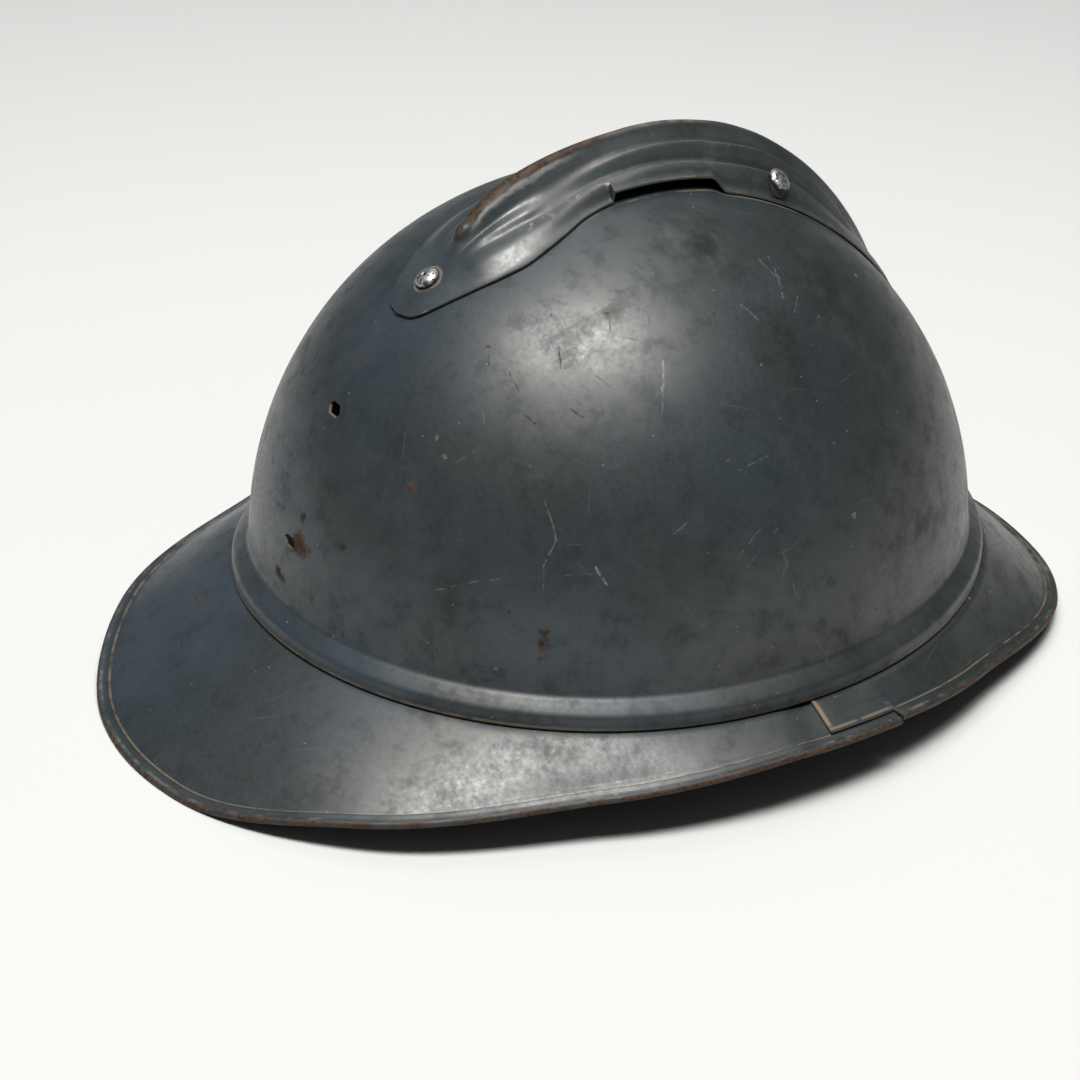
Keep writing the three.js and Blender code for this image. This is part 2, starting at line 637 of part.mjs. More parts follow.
// Half of the crest's outside in section, from the ridge to the edge: [x, height over the bowl]
function crestHalf(leanDeg) {
  const along = alongAt(leanDeg);
  const half = CREST_HALF_WIDTH * tableValue(CREST_OUTLINE, 'along', 'half', along);
  const value = (column) => tableValue(MOULDING_ROWS, 'along', column, along);
  const lift = NOTCH_RISE * notchAt(leanDeg);
  const points = MOULDING_POINTS.map((point) => [
    min(value(`${point.name}X`) * CREST_HALF_WIDTH, half * point.limit),
    CREST_SEAT + value(`${point.name}H`) * CREST_HEIGHT,
  ]);
  points[points.length - 1][1] += lift;
  const ridge = [0, CREST_SEAT + value('ridgeH') * CREST_HEIGHT];
  const crown = [points[0][0] * RIDGE_ROUND.out, lerp(points[0][1], ridge[1], RIDGE_ROUND.up)];
  return { outside: [ridge, crown, ...points, [half, CREST_SEAT + lift]], points, ridge, half, lift };
}

function crestLoop(leanDeg) {
  const { outside, points, ridge, half, lift } = crestHalf(leanDeg);
  const chosen = [ridge, ...points.filter((_, i) => MOULDING_POINTS[i].inside), [half, CREST_SEAT + lift]];
  const mirrored = ([x, h]) => [-x, h];
  const hollow = offsetLine([mirrored(chosen[1]), ...chosen], -SHEET).slice(1);
  hollow[hollow.length - 1] = [half * EDGE_TUCK, GAP + lift];
  const floor = GAP + lift / 2;
  const lower = hollow.map(([x, h]) => [x, max(h, floor)]);
  const right = [...outside, ...lower.reverse()];
  const left = right.slice(1, -1).map(mirrored).reverse();
  return [...right, ...left].map(([x, h]) => overDome(leanDeg, x, h));
}

function crestStations() {
  const rows = CREST_OUTLINE.map((row) => row.along * (row.along < 0 ? -CREST_FRONT_DEG : CREST_REAR_DEG));
  const notch = [NOTCH_FRONT_DEG, NOTCH_FRONT_DEG + NOTCH_FRONT_RAMP_DEG,
    NOTCH_REAR_DEG, NOTCH_REAR_DEG + NOTCH_REAR_RAMP_DEG];
  const ends = [...rows.filter((deg) => notch.every((n) => abs(n - deg) > 1)), ...notch];
  ends.sort((a, b) => a - b);
  return ends.flatMap((deg, i) => {
    if (i === ends.length - 1) return [deg];
    const count = ceil((ends[i + 1] - deg) / CREST_STEP_DEG);
    return Array.from({ length: count }, (_, k) => lerp(deg, ends[i + 1], k / count));
  });
}

function makeCrest() {
  const shell = loftLoops(crestStations().map(crestLoop), false);
  return toGeometry(cutFrom(toManifold(shell), RIVETS.map(rivetHole)));
}

// Rivets

// Height of the crest's outside at a distance from the centre plane
function crestHeight(leanDeg, x) {
  const line = crestHalf(leanDeg).outside;
  const i = max(line.findIndex((p) => p[0] > x), 1);
  return lerp(line[i - 1][1], line[i][1], (x - line[i - 1][0]) / (line[i][0] - line[i - 1][0]));
}

// The highest point of the crest under a rivet's head
function seatHeight(rivet) {
  const heights = [crestHeight(rivet.lean, abs(rivet.x))];
  for (let i = 0; i < ROUND_SIDES; i += 1) {
    const turn = (i / ROUND_SIDES) * 2 * Math.PI;
    const lean = rivet.lean + (RIVET_HEAD_RADIUS * sin(turn)) / DOME_RISE / RAD;
    heights.push(crestHeight(lean, abs(abs(rivet.x) + RIVET_HEAD_RADIUS * cos(turn))));
  }
  return max(...heights);
}

function makeRivet(rivet) {
  const seat = seatHeight(rivet) + GAP;
  const under = -SHEET - GAP - FACET_SAG;
  const profile = [
    [0, under - RIVET_TAIL_THICK],
    [RIVET_TAIL_RADIUS, under - RIVET_TAIL_THICK],
    [RIVET_TAIL_RADIUS, under],
    [RIVET_SHANK_RADIUS, under],
    [RIVET_SHANK_RADIUS, seat],
    ...RIVET_HEAD_SHAPE.map((row) => [RIVET_HEAD_RADIUS * row.out, seat + RIVET_HEAD_RISE * row.up]),
    [RIVET_DIMPLE, seat + RIVET_HEAD_RISE],
    [0, seat + RIVET_HEAD_RISE - RIVET_DIMPLE],
  ].map(([r, h]) => new THREE.Vector2(r, h));
  const lathe = new THREE.LatheGeometry(profile, ROUND_SIDES);
  return facingOut(toGeometry(toManifold(placedAlong(lathe, rivet.lean, rivet.x))));
}

// Assembly

const helmet = new THREE.Group();
helmet.name = 'helmet';
const footprintMiddle = (FRONT_REACH + VISOR_REACH - REAR_REACH - GUARD_REACH) / 2;
helmet.position.y = footprintMiddle;

function addPiece(name, geometry, finish) {
  const mesh = new THREE.Mesh(geometry, new THREE.MeshStandardMaterial(finish));
  mesh.name = name;
  helmet.add(mesh);
}

addPiece('bowl', makeBowl(), STEEL);
addPiece('front_visor', makeVisor(), STEEL);
addPiece('neck_guard', makeNeckGuard(), STEEL);
addPiece('crest', makeCrest(), STEEL);
for (const rivet of RIVETS) addPiece(rivet.name, makeRivet(rivet), ALUMINIUM);

export default helmet;
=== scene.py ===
"""Looks for a crested steel infantry helmet with worn slate blue paint.

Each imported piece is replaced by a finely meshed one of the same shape, worked out here from the same
driving dimensions in millimetres. The front points to -Y, +X is the wearer's left, and the floor is z = 0.
"""
import math

import bpy
import numpy as np
from mathutils import Matrix, Vector
from mathutils.bvhtree import BVHTree


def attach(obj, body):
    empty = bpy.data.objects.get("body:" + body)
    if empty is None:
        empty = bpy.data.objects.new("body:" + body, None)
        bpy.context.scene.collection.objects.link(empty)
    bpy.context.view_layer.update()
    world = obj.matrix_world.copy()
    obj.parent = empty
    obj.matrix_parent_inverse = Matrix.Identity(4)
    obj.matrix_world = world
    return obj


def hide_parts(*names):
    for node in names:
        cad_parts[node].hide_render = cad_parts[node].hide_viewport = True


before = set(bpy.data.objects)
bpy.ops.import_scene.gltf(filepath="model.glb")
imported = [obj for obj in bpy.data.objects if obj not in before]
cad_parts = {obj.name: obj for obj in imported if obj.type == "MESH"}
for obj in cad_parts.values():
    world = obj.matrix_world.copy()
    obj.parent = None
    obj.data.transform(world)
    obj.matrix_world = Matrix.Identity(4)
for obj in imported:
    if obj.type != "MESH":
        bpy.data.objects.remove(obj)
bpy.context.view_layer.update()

MM = 0.001

# Sheet and fits
SHEET = 0.7
GAP = 0.3

# Bowl
FRONT_REACH = 108.2
REAR_REACH = 109.7
HALF_WIDTH = 94.4
FOOT_HEIGHT = 33.2
DOME_RISE = 108.1
PLAN_FULLNESS = 2.05
FRONT_FULLNESS = 2.07
REAR_FULLNESS = 1.92

# Rolled collar
COLLAR_OUT = 5.05
COLLAR_TALL = 10.4
COLLAR_LIP_HEIGHT = 26.7
COLLAR_SADDLE = 1.95
COLLAR_SHAPE = [(1.00, 0.00), (1.00, 0.08), (1.00, 0.15), (0.985, 0.25), (0.91, 0.37), (0.67, 0.50),
                (0.34, 0.65), (0.07, 0.79), (0.00, 1.00)]
FLANGE_POINTS = 5

# Brim
VISOR_REACH = 48.9
SIDE_REACH = 18.6
GUARD_REACH = 35.3
SIDE_LIFT = 17.4
BRIM_CROWN = 1.0
HEM_WIDTH = 4.1
HEM_THICK = 2.2
HEM_STEP = 0.75
EDGE_WEAR = 0.35
LAP_START_DEG = 90
LAP_END_DEG = 100.5
JOGGLE_DEG = 5
LAP_CLEAR_DEG = 1
HEM_CLEAR_DEG = 0.3
GUARD_SET_IN = 0.9
SET_IN_FADE_DEG = 26
EDGE_COLUMNS = ("deg", "front", "rear", "lift")
BRIM_EDGE = [
    (0, 1.00, 0, 0.00),
    (8, 0.97, 0, 0.00),
    (30, 0.64, 0, 0.47),
    (60, 0.06, 0, 0.78),
    (90, 0.00, 0, 1.00),
    (120, 0, -0.11, 0.66),
    (150, 0, 0.70, 0.27),
    (172, 0, 0.98, 0.00),
    (180, 0, 1.00, 0.00),
]

# Badge slots in the front of the bowl
SLOT_HEIGHT = 3.2
SLOT_WIDTH = 6.2
SLOT_RISES = (58.9, 22.1)
SLOT_CORNERS = [(-1, 0.25), (-0.62, 1), (0.5, 0.94), (1, -0.1), (0.66, -1), (-0.55, -0.92)]

# How far each cutter goes on both sides of the sheet it cuts
SLOT_CUT = 20
VENT_CUT = 15
HOLE_CUT = 25

# Crest
CREST_HEIGHT = 14.3
CREST_HALF_WIDTH = 19.2
CREST_FRONT_DEG = -41.1
CREST_REAR_DEG = 70
NOTCH_RISE = 2.9
NOTCH_FRONT_DEG = -6.3
NOTCH_REAR_DEG = 11
NOTCH_FRONT_RAMP_DEG = 0.4
NOTCH_REAR_RAMP_DEG = 2.4
VENT_LENGTH = 44
VENT_WIDTH = 12
VENT_CENTRE_DEG = 2.4
OUTLINE_COLUMNS = ("along", "half")
CREST_OUTLINE = [
    (-1.000, 0.06), (-0.990, 0.24), (-0.960, 0.39), (-0.900, 0.54), (-0.780, 0.77), (-0.660, 0.94),
    (-0.570, 1.00), (-0.480, 0.96), (-0.400, 0.89), (-0.270, 0.73), (-0.150, 0.655), (0.150, 0.655),
    (0.195, 0.78), (0.290, 0.80), (0.390, 0.83), (0.500, 0.88), (0.600, 0.86), (0.700, 0.78),
    (0.800, 0.70), (0.860, 0.64), (0.910, 0.56), (0.960, 0.41), (0.990, 0.24), (1.000, 0.06),
]
MOULDING_COLUMNS = ("along", "ridgeH", "shoulderX", "shoulderH", "valley1X", "valley1H", "rib1X", "rib1H",
                    "valley2X", "valley2H", "rib2X", "rib2H", "footX", "footH")
MOULDING = [
    (-1.00, 0.01, 0.10, 0.01, 0.18, 0.01, 0.26, 0.01, 0.36, 0.01, 0.47, 0.01, 0.57, 0.005),
    (-0.81, 0.03, 0.10, 0.03, 0.18, 0.03, 0.25, 0.03, 0.34, 0.03, 0.47, 0.02, 0.57, 0.01),
    (-0.75, 0.10, 0.10, 0.10, 0.17, 0.095, 0.24, 0.09, 0.33, 0.08, 0.52, 0.05, 0.70, 0.02),
    (-0.70, 0.28, 0.115, 0.23, 0.18, 0.18, 0.26, 0.17, 0.36, 0.15, 0.57, 0.12, 0.78, 0.04),
    (-0.64, 0.46, 0.125, 0.37, 0.20, 0.25, 0.30, 0.25, 0.41, 0.19, 0.64, 0.15, 0.86, 0.04),
    (-0.55, 0.66, 0.14, 0.55, 0.22, 0.33, 0.36, 0.30, 0.46, 0.20, 0.67, 0.16, 0.875, 0.04),
    (-0.39, 0.82, 0.155, 0.69, 0.24, 0.44, 0.405, 0.305, 0.49, 0.185, 0.655, 0.155, 0.79, 0.04),
    (-0.22, 0.89, 0.165, 0.76, 0.25, 0.555, 0.385, 0.43, 0.46, 0.275, 0.585, 0.225, 0.64, 0.06),
    (-0.05, 0.935, 0.17, 0.81, 0.255, 0.645, 0.345, 0.60, 0.44, 0.36, 0.53, 0.345, 0.62, 0.06),
    (0.10, 1.00, 0.175, 0.86, 0.255, 0.69, 0.335, 0.68, 0.43, 0.395, 0.51, 0.39, 0.62, 0.06),
    (0.19, 1.00, 0.175, 0.87, 0.255, 0.70, 0.335, 0.69, 0.43, 0.39, 0.515, 0.385, 0.73, 0.045),
    (0.29, 0.945, 0.175, 0.83, 0.255, 0.69, 0.335, 0.695, 0.43, 0.375, 0.515, 0.375, 0.75, 0.045),
    (0.39, 0.83, 0.17, 0.73, 0.25, 0.57, 0.33, 0.565, 0.43, 0.325, 0.52, 0.325, 0.78, 0.045),
    (0.465, 0.73, 0.165, 0.64, 0.245, 0.50, 0.325, 0.485, 0.43, 0.25, 0.53, 0.23, 0.81, 0.04),
    (0.57, 0.56, 0.155, 0.485, 0.23, 0.345, 0.31, 0.31, 0.43, 0.15, 0.55, 0.12, 0.83, 0.03),
    (0.665, 0.395, 0.145, 0.33, 0.21, 0.215, 0.29, 0.165, 0.41, 0.11, 0.57, 0.08, 0.83, 0.02),
    (0.757, 0.225, 0.125, 0.185, 0.19, 0.135, 0.27, 0.13, 0.385, 0.10, 0.57, 0.075, 0.78, 0.02),
    (0.82, 0.11, 0.105, 0.11, 0.17, 0.095, 0.25, 0.09, 0.355, 0.075, 0.52, 0.05, 0.70, 0.015),
    (0.89, 0.03, 0.10, 0.03, 0.18, 0.03, 0.25, 0.03, 0.34, 0.03, 0.47, 0.02, 0.57, 0.01),
    (1.00, 0.01, 0.10, 0.01, 0.18, 0.01, 0.26, 0.01, 0.36, 0.01, 0.47, 0.01, 0.57, 0.005),
]
MOULDING_POINTS = [("shoulder", 0.14), ("valley1", 0.28), ("rib1", 0.42), ("valley2", 0.57), ("rib2", 0.73),
                   ("foot", 0.88)]
RIDGE_ROUND = (0.6, 0.72)
BOSS_LEAN_DEG = -27.3
BOSS_RADIUS = 2.4
BOSS_RISE = 0.8
CREST_SEAT = GAP + SHEET

# Rivets
RIVET_HEAD_RADIUS = 3.5
RIVET_HEAD_RISE = 1.9
RIVET_HOLE_RADIUS = 0.55
RIVET_LEAN = 0.55
RIVET_SHANK_RADIUS = 1.5
RIVETS = [("rivet_front", -34.7, 0.0), ("rivet_rear", 63.5, 0.0), ("rivet_left", 23.6, 11.4),
          ("rivet_right", 23.6, -11.4)]

# From the bowl's centre line to the middle of the footprint
MIDDLE = (FRONT_REACH + VISOR_REACH - REAR_REACH - GUARD_REACH) / 2

# Mesh fineness, and how often a searched distance is halved
HALVINGS = 40
CREST_STEPS = 6
BOWL_COLUMNS = 320
DOME_RINGS = 110
COLLAR_RINGS = 28
BRIM_STEP_DEG = 1.0
CREST_STEP_DEG = 0.4
HEM_ARC_STEPS = 12
RIVET_SIDES = 48

# Camera, fitted to the photograph
CAMERA_AZIMUTH = 56.78
CAMERA_ELEVATION = 28.58
CAMERA_DISTANCE = 850.15
CAMERA_TARGET = (0.0, -18.40, 33.54)
CAMERA_ROLL = 1.6
FOCAL_PIXELS = 2924.8
PHOTO_SIDE = 1080
SENSOR = 36.0


# Numbers and curves


def smooth(t):
    s = np.clip(t, 0, 1)
    return s * s * (3 - 2 * s)


def lerp(a, b, t):
    return a + (b - a) * t


def columns(rows, names):
    """A table as one array for each named column."""
    return dict(zip(names, np.array(rows, float).T))


def named(rows, names):
    """A table's rows, each with its values by column name."""
    return [dict(zip(names, row)) for row in rows]


def table_value(table, key, column, at):
    """Values between a table's rows, on a curve that never swings beyond two neighbours' range."""
    x, y = table[key], table[column]
    rise = np.diff(y) / np.diff(x)
    slope = np.zeros(len(x))
    product = rise[:-1] * rise[1:]
    total = np.where(product > 0, rise[:-1] + rise[1:], 1.0)
    slope[1:-1] = np.where(product > 0, 2 * product / total, 0)
    at = np.clip(at, x[0], x[-1])
    i = np.clip(np.searchsorted(x, at, side="left") - 1, 0, len(x) - 2)
    width = x[i + 1] - x[i]
    t = (at - x[i]) / width
    return ((2 * t**3 - 3 * t**2 + 1) * y[i] + (t**3 - 2 * t**2 + t) * width * slope[i]
            + (3 * t**2 - 2 * t**3) * y[i + 1] + (t**3 - t**2) * width * slope[i + 1])


def offset_line(points, distance):
    """Moves a line of [x, y] points sideways, to its left where the distance is positive."""
    ahead = np.vstack([points[1:], points[-1:]])
    behind = np.vstack([points[:1], points[:-1]])
    along = ahead - behind
    along /= np.linalg.norm(along, axis=1)[:, None]
    return points + np.stack([-along[:, 1], along[:, 0]], 1) * distance


def round_corners(points, times):
    """Cuts a line's corners, keeping both ends."""
    for _ in range(times):
        near = points[:-1] * 0.75 + points[1:] * 0.25
        far = points[:-1] * 0.25 + points[1:] * 0.75
        middle = np.stack([near, far], 1).reshape(-1, points.shape[1])
        points = np.vstack([points[:1], middle, points[-1:]])
    return points


def curve_through(points, steps):
    """A smooth curve through points, with steps to each stretch and tangents that don't overshoot."""
    p = np.vstack([2 * points[0] - points[1], points, 2 * points[-1] - points[-2]])
    out = []
    t = np.arange(steps) / steps
    for i in range(1, len(p) - 2):
        length = np.linalg.norm(p[i + 1] - p[i])
        before = np.linalg.norm(p[i] - p[i - 1])
        after = np.linalg.norm(p[i + 2] - p[i + 1])
        m0 = (p[i + 1] - p[i - 1]) / max(length + before, 1e-9) * length
        m1 = (p[i + 2] - p[i]) / max(length + after, 1e-9) * length
        h = t[:, None]
        out.append((2 * h**3 - 3 * h**2 + 1) * p[i] + (h**3 - 2 * h**2 + h) * m0
                   + (3 * h**2 - 2 * h**3) * p[i + 1] + (h**3 - h**2) * m1)
    return np.vstack(out + [points[-1:]])


OUTLINE = columns(CREST_OUTLINE, OUTLINE_COLUMNS)
PROFILE = columns(MOULDING, MOULDING_COLUMNS)


# Bowl surface. Angles round the helmet run from the front, over its left side (+X), to the rear.


def plan_point(angle, out):
    s, c = np.sin(angle), np.cos(angle)
    reach = np.where(c > 0, FRONT_REACH, REAR_REACH)
    power = 2 / PLAN_FULLNESS
    x = HALF_WIDTH * np.sign(s) * np.abs(s) ** power
    y = -reach * np.sign(c) * np.abs(c) ** power
    nx = np.sign(x) * (np.abs(x) / HALF_WIDTH) ** (PLAN_FULLNESS - 1) / HALF_WIDTH
    ny = np.sign(y) * (np.abs(y) / reach) ** (PLAN_FULLNESS - 1) / reach
    n = np.hypot(nx, ny)
    return x + nx / n * out, y + ny / n * out


def section_fullness(angle):
    return lerp(REAR_FULLNESS, FRONT_FULLNESS, 0.5 + 0.5 * np.cos(angle))


def dome_point(angle, climb, depth):
    power = 2 / section_fullness(angle)
    share = np.maximum(np.cos(climb), 0) ** power
    x, y = plan_point(angle, -depth)
    return np.stack([x * share, y * share, FOOT_HEIGHT + (DOME_RISE - depth) * np.sin(climb) ** power], -1)


def climb_at(angle, z):
    return np.arcsin((max(z - FOOT_HEIGHT, 0) / DOME_RISE) ** (section_fullness(angle) / 2))


def dome_radius(lean, x):
    low = np.zeros(np.broadcast(lean, x).shape)
    high = low + 2 * max(DOME_RISE, REAR_REACH, FRONT_REACH)
    for _ in range(HALVINGS):
        r = (low + high) / 2
        y, z = r * np.sin(lean), r * np.cos(lean)
        reach = np.where(y < 0, FRONT_REACH, REAR_REACH)
        plan = ((np.abs(x) / HALF_WIDTH) ** PLAN_FULLNESS + (np.abs(y) / reach) ** PLAN_FULLNESS) ** (
            1 / PLAN_FULLNESS)
        facing = -(y / reach) / np.maximum(np.hypot(x / HALF_WIDTH, y / reach), 1e-9)
        m = lerp(REAR_FULLNESS, FRONT_FULLNESS, 0.5 + 0.5 * facing)
        outside = plan**m + (np.maximum(z, 0) / DOME_RISE) ** m > 1
        high = np.where(outside, r, high)
        low = np.where(outside, low, r)
    return low


def over_dome(lean_deg, x, height):
    lean = np.radians(lean_deg)
    x = np.asarray(x, float)
    r = dome_radius(lean, x) + height
    return np.stack([x + 0 * r, r * np.sin(lean), FOOT_HEIGHT + r * np.cos(lean)], -1)


def collar_lip(angle):
    return COLLAR_LIP_HEIGHT + COLLAR_SADDLE * math.cos(2 * angle)


def collar_line(lip, points):
    shape = np.array(COLLAR_SHAPE)
    fine = curve_through(shape, points) if points > 1 else shape
    return np.stack([fine[:, 0] * COLLAR_OUT, lip + fine[:, 1] * COLLAR_TALL], 1)


# Meshes


def loft_faces(rows, count, closed_rows, closed_line=True):
    """Quads between neighbouring loops of count points."""
    i = np.arange(rows if closed_rows else rows - 1)[:, None]
    j = np.arange(count if closed_line else count - 1)[None, :]
    a, b = i * count, ((i + 1) % rows) * count
    k = (j + 1) % count
    return np.stack([a + j, b + j, b + k, a + k], -1).reshape(-1, 4).tolist()


def strip_faces(rows, count):
    """The sides and both ends of a bar: rows of closed loops of count points."""
    last = (rows - 1) * count
    return loft_faces(rows, count, False) + [list(range(count)), list(range(last, last + count))[::-1]]


def framed(points):
    """Points in millimetres round the bowl's centre line, as metres in the shared frame."""
    return (np.asarray(points) + (0, MIDDLE, 0)) * MM


def make_piece(name, points, faces, sharp_deg=40, attributes=None):
    """A mesh object from points in millimetres round the bowl's centre line."""
    mesh = bpy.data.meshes.new(name)
    mesh.from_pydata(framed(points).tolist(), [], faces)
    for key, values in (attributes or {}).items():
        store(mesh, key, values)
    mesh.validate()
    piece = bpy.data.objects.new(name, mesh)
    bpy.context.scene.collection.objects.link(piece)
    face_outwards(piece)
    shade(piece, sharp_deg)
    return piece


def store(mesh, key, values):
    """Keeps a number for each vertex, which the materials read by its name."""
    mesh.attributes.new(key, "FLOAT", "POINT").data.foreach_set("value", np.asarray(values, np.float32))


def shade(piece, sharp_deg):
    piece.data.shade_smooth()
    piece.data.set_sharp_from_angle(angle=math.radians(sharp_deg))


def read_rows(items, key, kind=float):
    """A value of three numbers from each of many vertices or faces, a row for each."""
    values = np.empty(len(items) * 3, kind)
    items.foreach_get(key, values)
    return values.reshape(-1, 3)


def face_outwards(piece):
    """Turns the faces round if the mesh's volume is negative."""
    mesh = piece.data
    mesh.calc_loop_triangles()
    points = read_rows(mesh.vertices, "co")
    a, b, c = points[read_rows(mesh.loop_triangles, "vertices", int)].transpose(1, 0, 2)
    if (a * np.cross(b, c)).sum() < 0:
        mesh.flip_normals()


def cut_from(piece, cutters):
    """Cuts closed meshes out of a piece and removes them."""
    for cutter in cutters:
        cut = piece.modifiers.new("cut", "BOOLEAN")
        cut.operation = "DIFFERENCE"
        cut.solver = "MANIFOLD"
        cut.object = cutter
    bpy.context.view_layer.update()
    shape = piece.evaluated_get(bpy.context.evaluated_depsgraph_get())
    mesh = bpy.data.meshes.new_from_object(shape)
    piece.modifiers.clear()
    piece.data = mesh
    for cutter in cutters:
        bpy.data.objects.remove(cutter)


def prism(name, outline, low, high, place):
    """A straight cutter: an outline of [x, y] points between two heights, moved by place."""
    count = len(outline)
    points = [place(x, y, h) for h in (low, high) for x, y in outline]
    sides = [[i, (i + 1) % count, (i + 1) % count + count, i + count] for i in range(count)]
    faces = sides + [list(range(count))[::-1], list(range(count, 2 * count))]
    return make_piece(name, points, faces)


# Bowl


def bowl_column(angle):
    lip = collar_lip(angle)
    collar = collar_line(lip, COLLAR_RINGS // (len(COLLAR_SHAPE) - 1) + 1)
    inside = offset_line(collar, SHEET)[::-1]
    top = lip + COLLAR_TALL
    start = climb_at(angle, top)
    gather = dome_point(angle, start, 0)
    foot = plan_point(angle, 0)
    draw = math.hypot(gather[0], gather[1]) / math.hypot(*foot)

    def ring(line):
        x, y = plan_point(angle, line[:, 0])
        pull = lerp(1, draw, smooth((line[:, 1] - lip) / COLLAR_TALL))
        return np.stack([x * pull, y * pull, line[:, 1]], 1)

    climbs = lerp(start, math.pi / 2, np.arange(DOME_RINGS + 1) / (DOME_RINGS + 1))
    outer = dome_point(angle, climbs, 0)
    inner = dome_point(angle, climbs, SHEET)
    return np.vstack([ring(collar[:-1]), outer, inner[::-1], ring(inside[1:])]), len(collar) - 1


def slot_outline():
    """A worn slot: an oblong with its ends drawn to blunt points."""
    return [(across * SLOT_WIDTH / 2, up * SLOT_HEIGHT / 2) for across, up in SLOT_CORNERS]


def oblong(half_length, radius, steps=20):
    """A slot's outline with round ends, long in Y."""
    turn = np.linspace(0, math.pi, steps)
    end = np.stack([radius * np.cos(turn), half_length - radius + radius * np.sin(turn)], 1)
    return np.vstack([end, -end]).tolist()


def rivet_place(lean, x):
    """Takes a point beside a rivet's axis, and a height over the bowl, to a place on the helmet."""
    step = 0.5
    foot = over_dome(lean, x, 0)
    along = over_dome(lean + step, x, 0) - over_dome(lean - step, x, 0)
    across = over_dome(lean, x + step, 0) - over_dome(lean, x - step, 0)
    axis = np.cross(across, along)
    axis /= np.linalg.norm(axis)
    side = across / np.linalg.norm(across)
    ahead = np.cross(axis, side)
    return lambda u, v, h: foot + side * u + ahead * v + axis * h


def rivet_hole(lean, x):
    turn = np.linspace(0, 2 * math.pi, 25)[:-1]
    radius = RIVET_SHANK_RADIUS + GAP
    outline = np.stack([radius * np.cos(turn), radius * np.sin(turn)], 1).tolist()
    return prism("hole", outline, -HOLE_CUT, HOLE_CUT, rivet_place(lean, x))


# Dents in the bowl, by degrees round from the front
DENT_COLUMNS = ("deg", "height", "radius", "depth")
DENTS = [
    (139, 92, 17, 0.55),
    (146, 68, 13, 0.35),
    (120, 110, 22, 0.25),
    (62, 60, 26, 0.18),
    (20, 82, 24, 0.20),
    (-60, 74, 20, 0.45),
    (-128, 66, 24, 0.35),
    (176, 84, 22, 0.30),
]
DENT_SHARPNESS = 1.6
# Slow waves in the sheet. Rate is waves in 2 mm, shift and turn are in radians.
WAVE_COLUMNS = ("rate", "shift", "turn", "height")
WAVES = [(0.021, 0.9, 1.7, 0.055), (0.034, 2.1, 0.4, 0.035), (0.052, 4.0, 2.6, 0.020)]
# The dents fade in over this range of heights, so the collar keeps its shape
DENTS_FROM, DENTS_FULL = 40, 60
DENT_CENTRE_HEIGHT = FOOT_HEIGHT * 0.8
SHARP_CUT_DEG = 50


def dent_depth(points):
    """How far each point of the bowl is pushed inwards by knocks and by slow waves in the sheet."""
    depth = np.zeros(len(points))
    for dent in named(DENTS, DENT_COLUMNS):
        angle = math.radians(dent["deg"])
        centre = dome_point(angle, climb_at(angle, dent["height"]), 0)
        away = np.linalg.norm(points - centre, axis=1) / dent["radius"]
        depth += dent["depth"] * np.exp(-away**2 * DENT_SHARPNESS)
    x, y, z = points.T
    for row in named(WAVES, WAVE_COLUMNS):
        rate, turn = row["rate"], row["turn"]
        wave = np.sin(rate * 2 * math.pi * (x * math.cos(turn) + y * math.sin(turn)) / 2 + row["shift"])
        depth += row["height"] * wave * np.sin(rate * math.pi * z + turn)
    return depth * smooth((points[:, 2] - DENTS_FROM) / (DENTS_FULL - DENTS_FROM))


def collar_share(points):
    """How far up the collar each point is: 0 at the lip, 1 at its top."""
    angle = np.arctan2(points[:, 0] / HALF_WIDTH, -points[:, 1] / FRONT_REACH)
    lip = COLLAR_LIP_HEIGHT + COLLAR_SADDLE * np.cos(2 * angle)
    return (points[:, 2] - lip) / COLLAR_TALL


def crest_distance(points):
    """Distance of each point outside the crest's outline, in millimetres across."""
    lean = np.degrees(np.arctan2(points[:, 1], points[:, 2] - FOOT_HEIGHT))
    along = np.where(lean < 0, -lean / CREST_FRONT_DEG, lean / CREST_REAR_DEG)
    half = CREST_HALF_WIDTH * table_value(OUTLINE, "along", "half", along)
    return np.where(np.abs(along) > 1, 99, np.abs(points[:, 0]) - half)


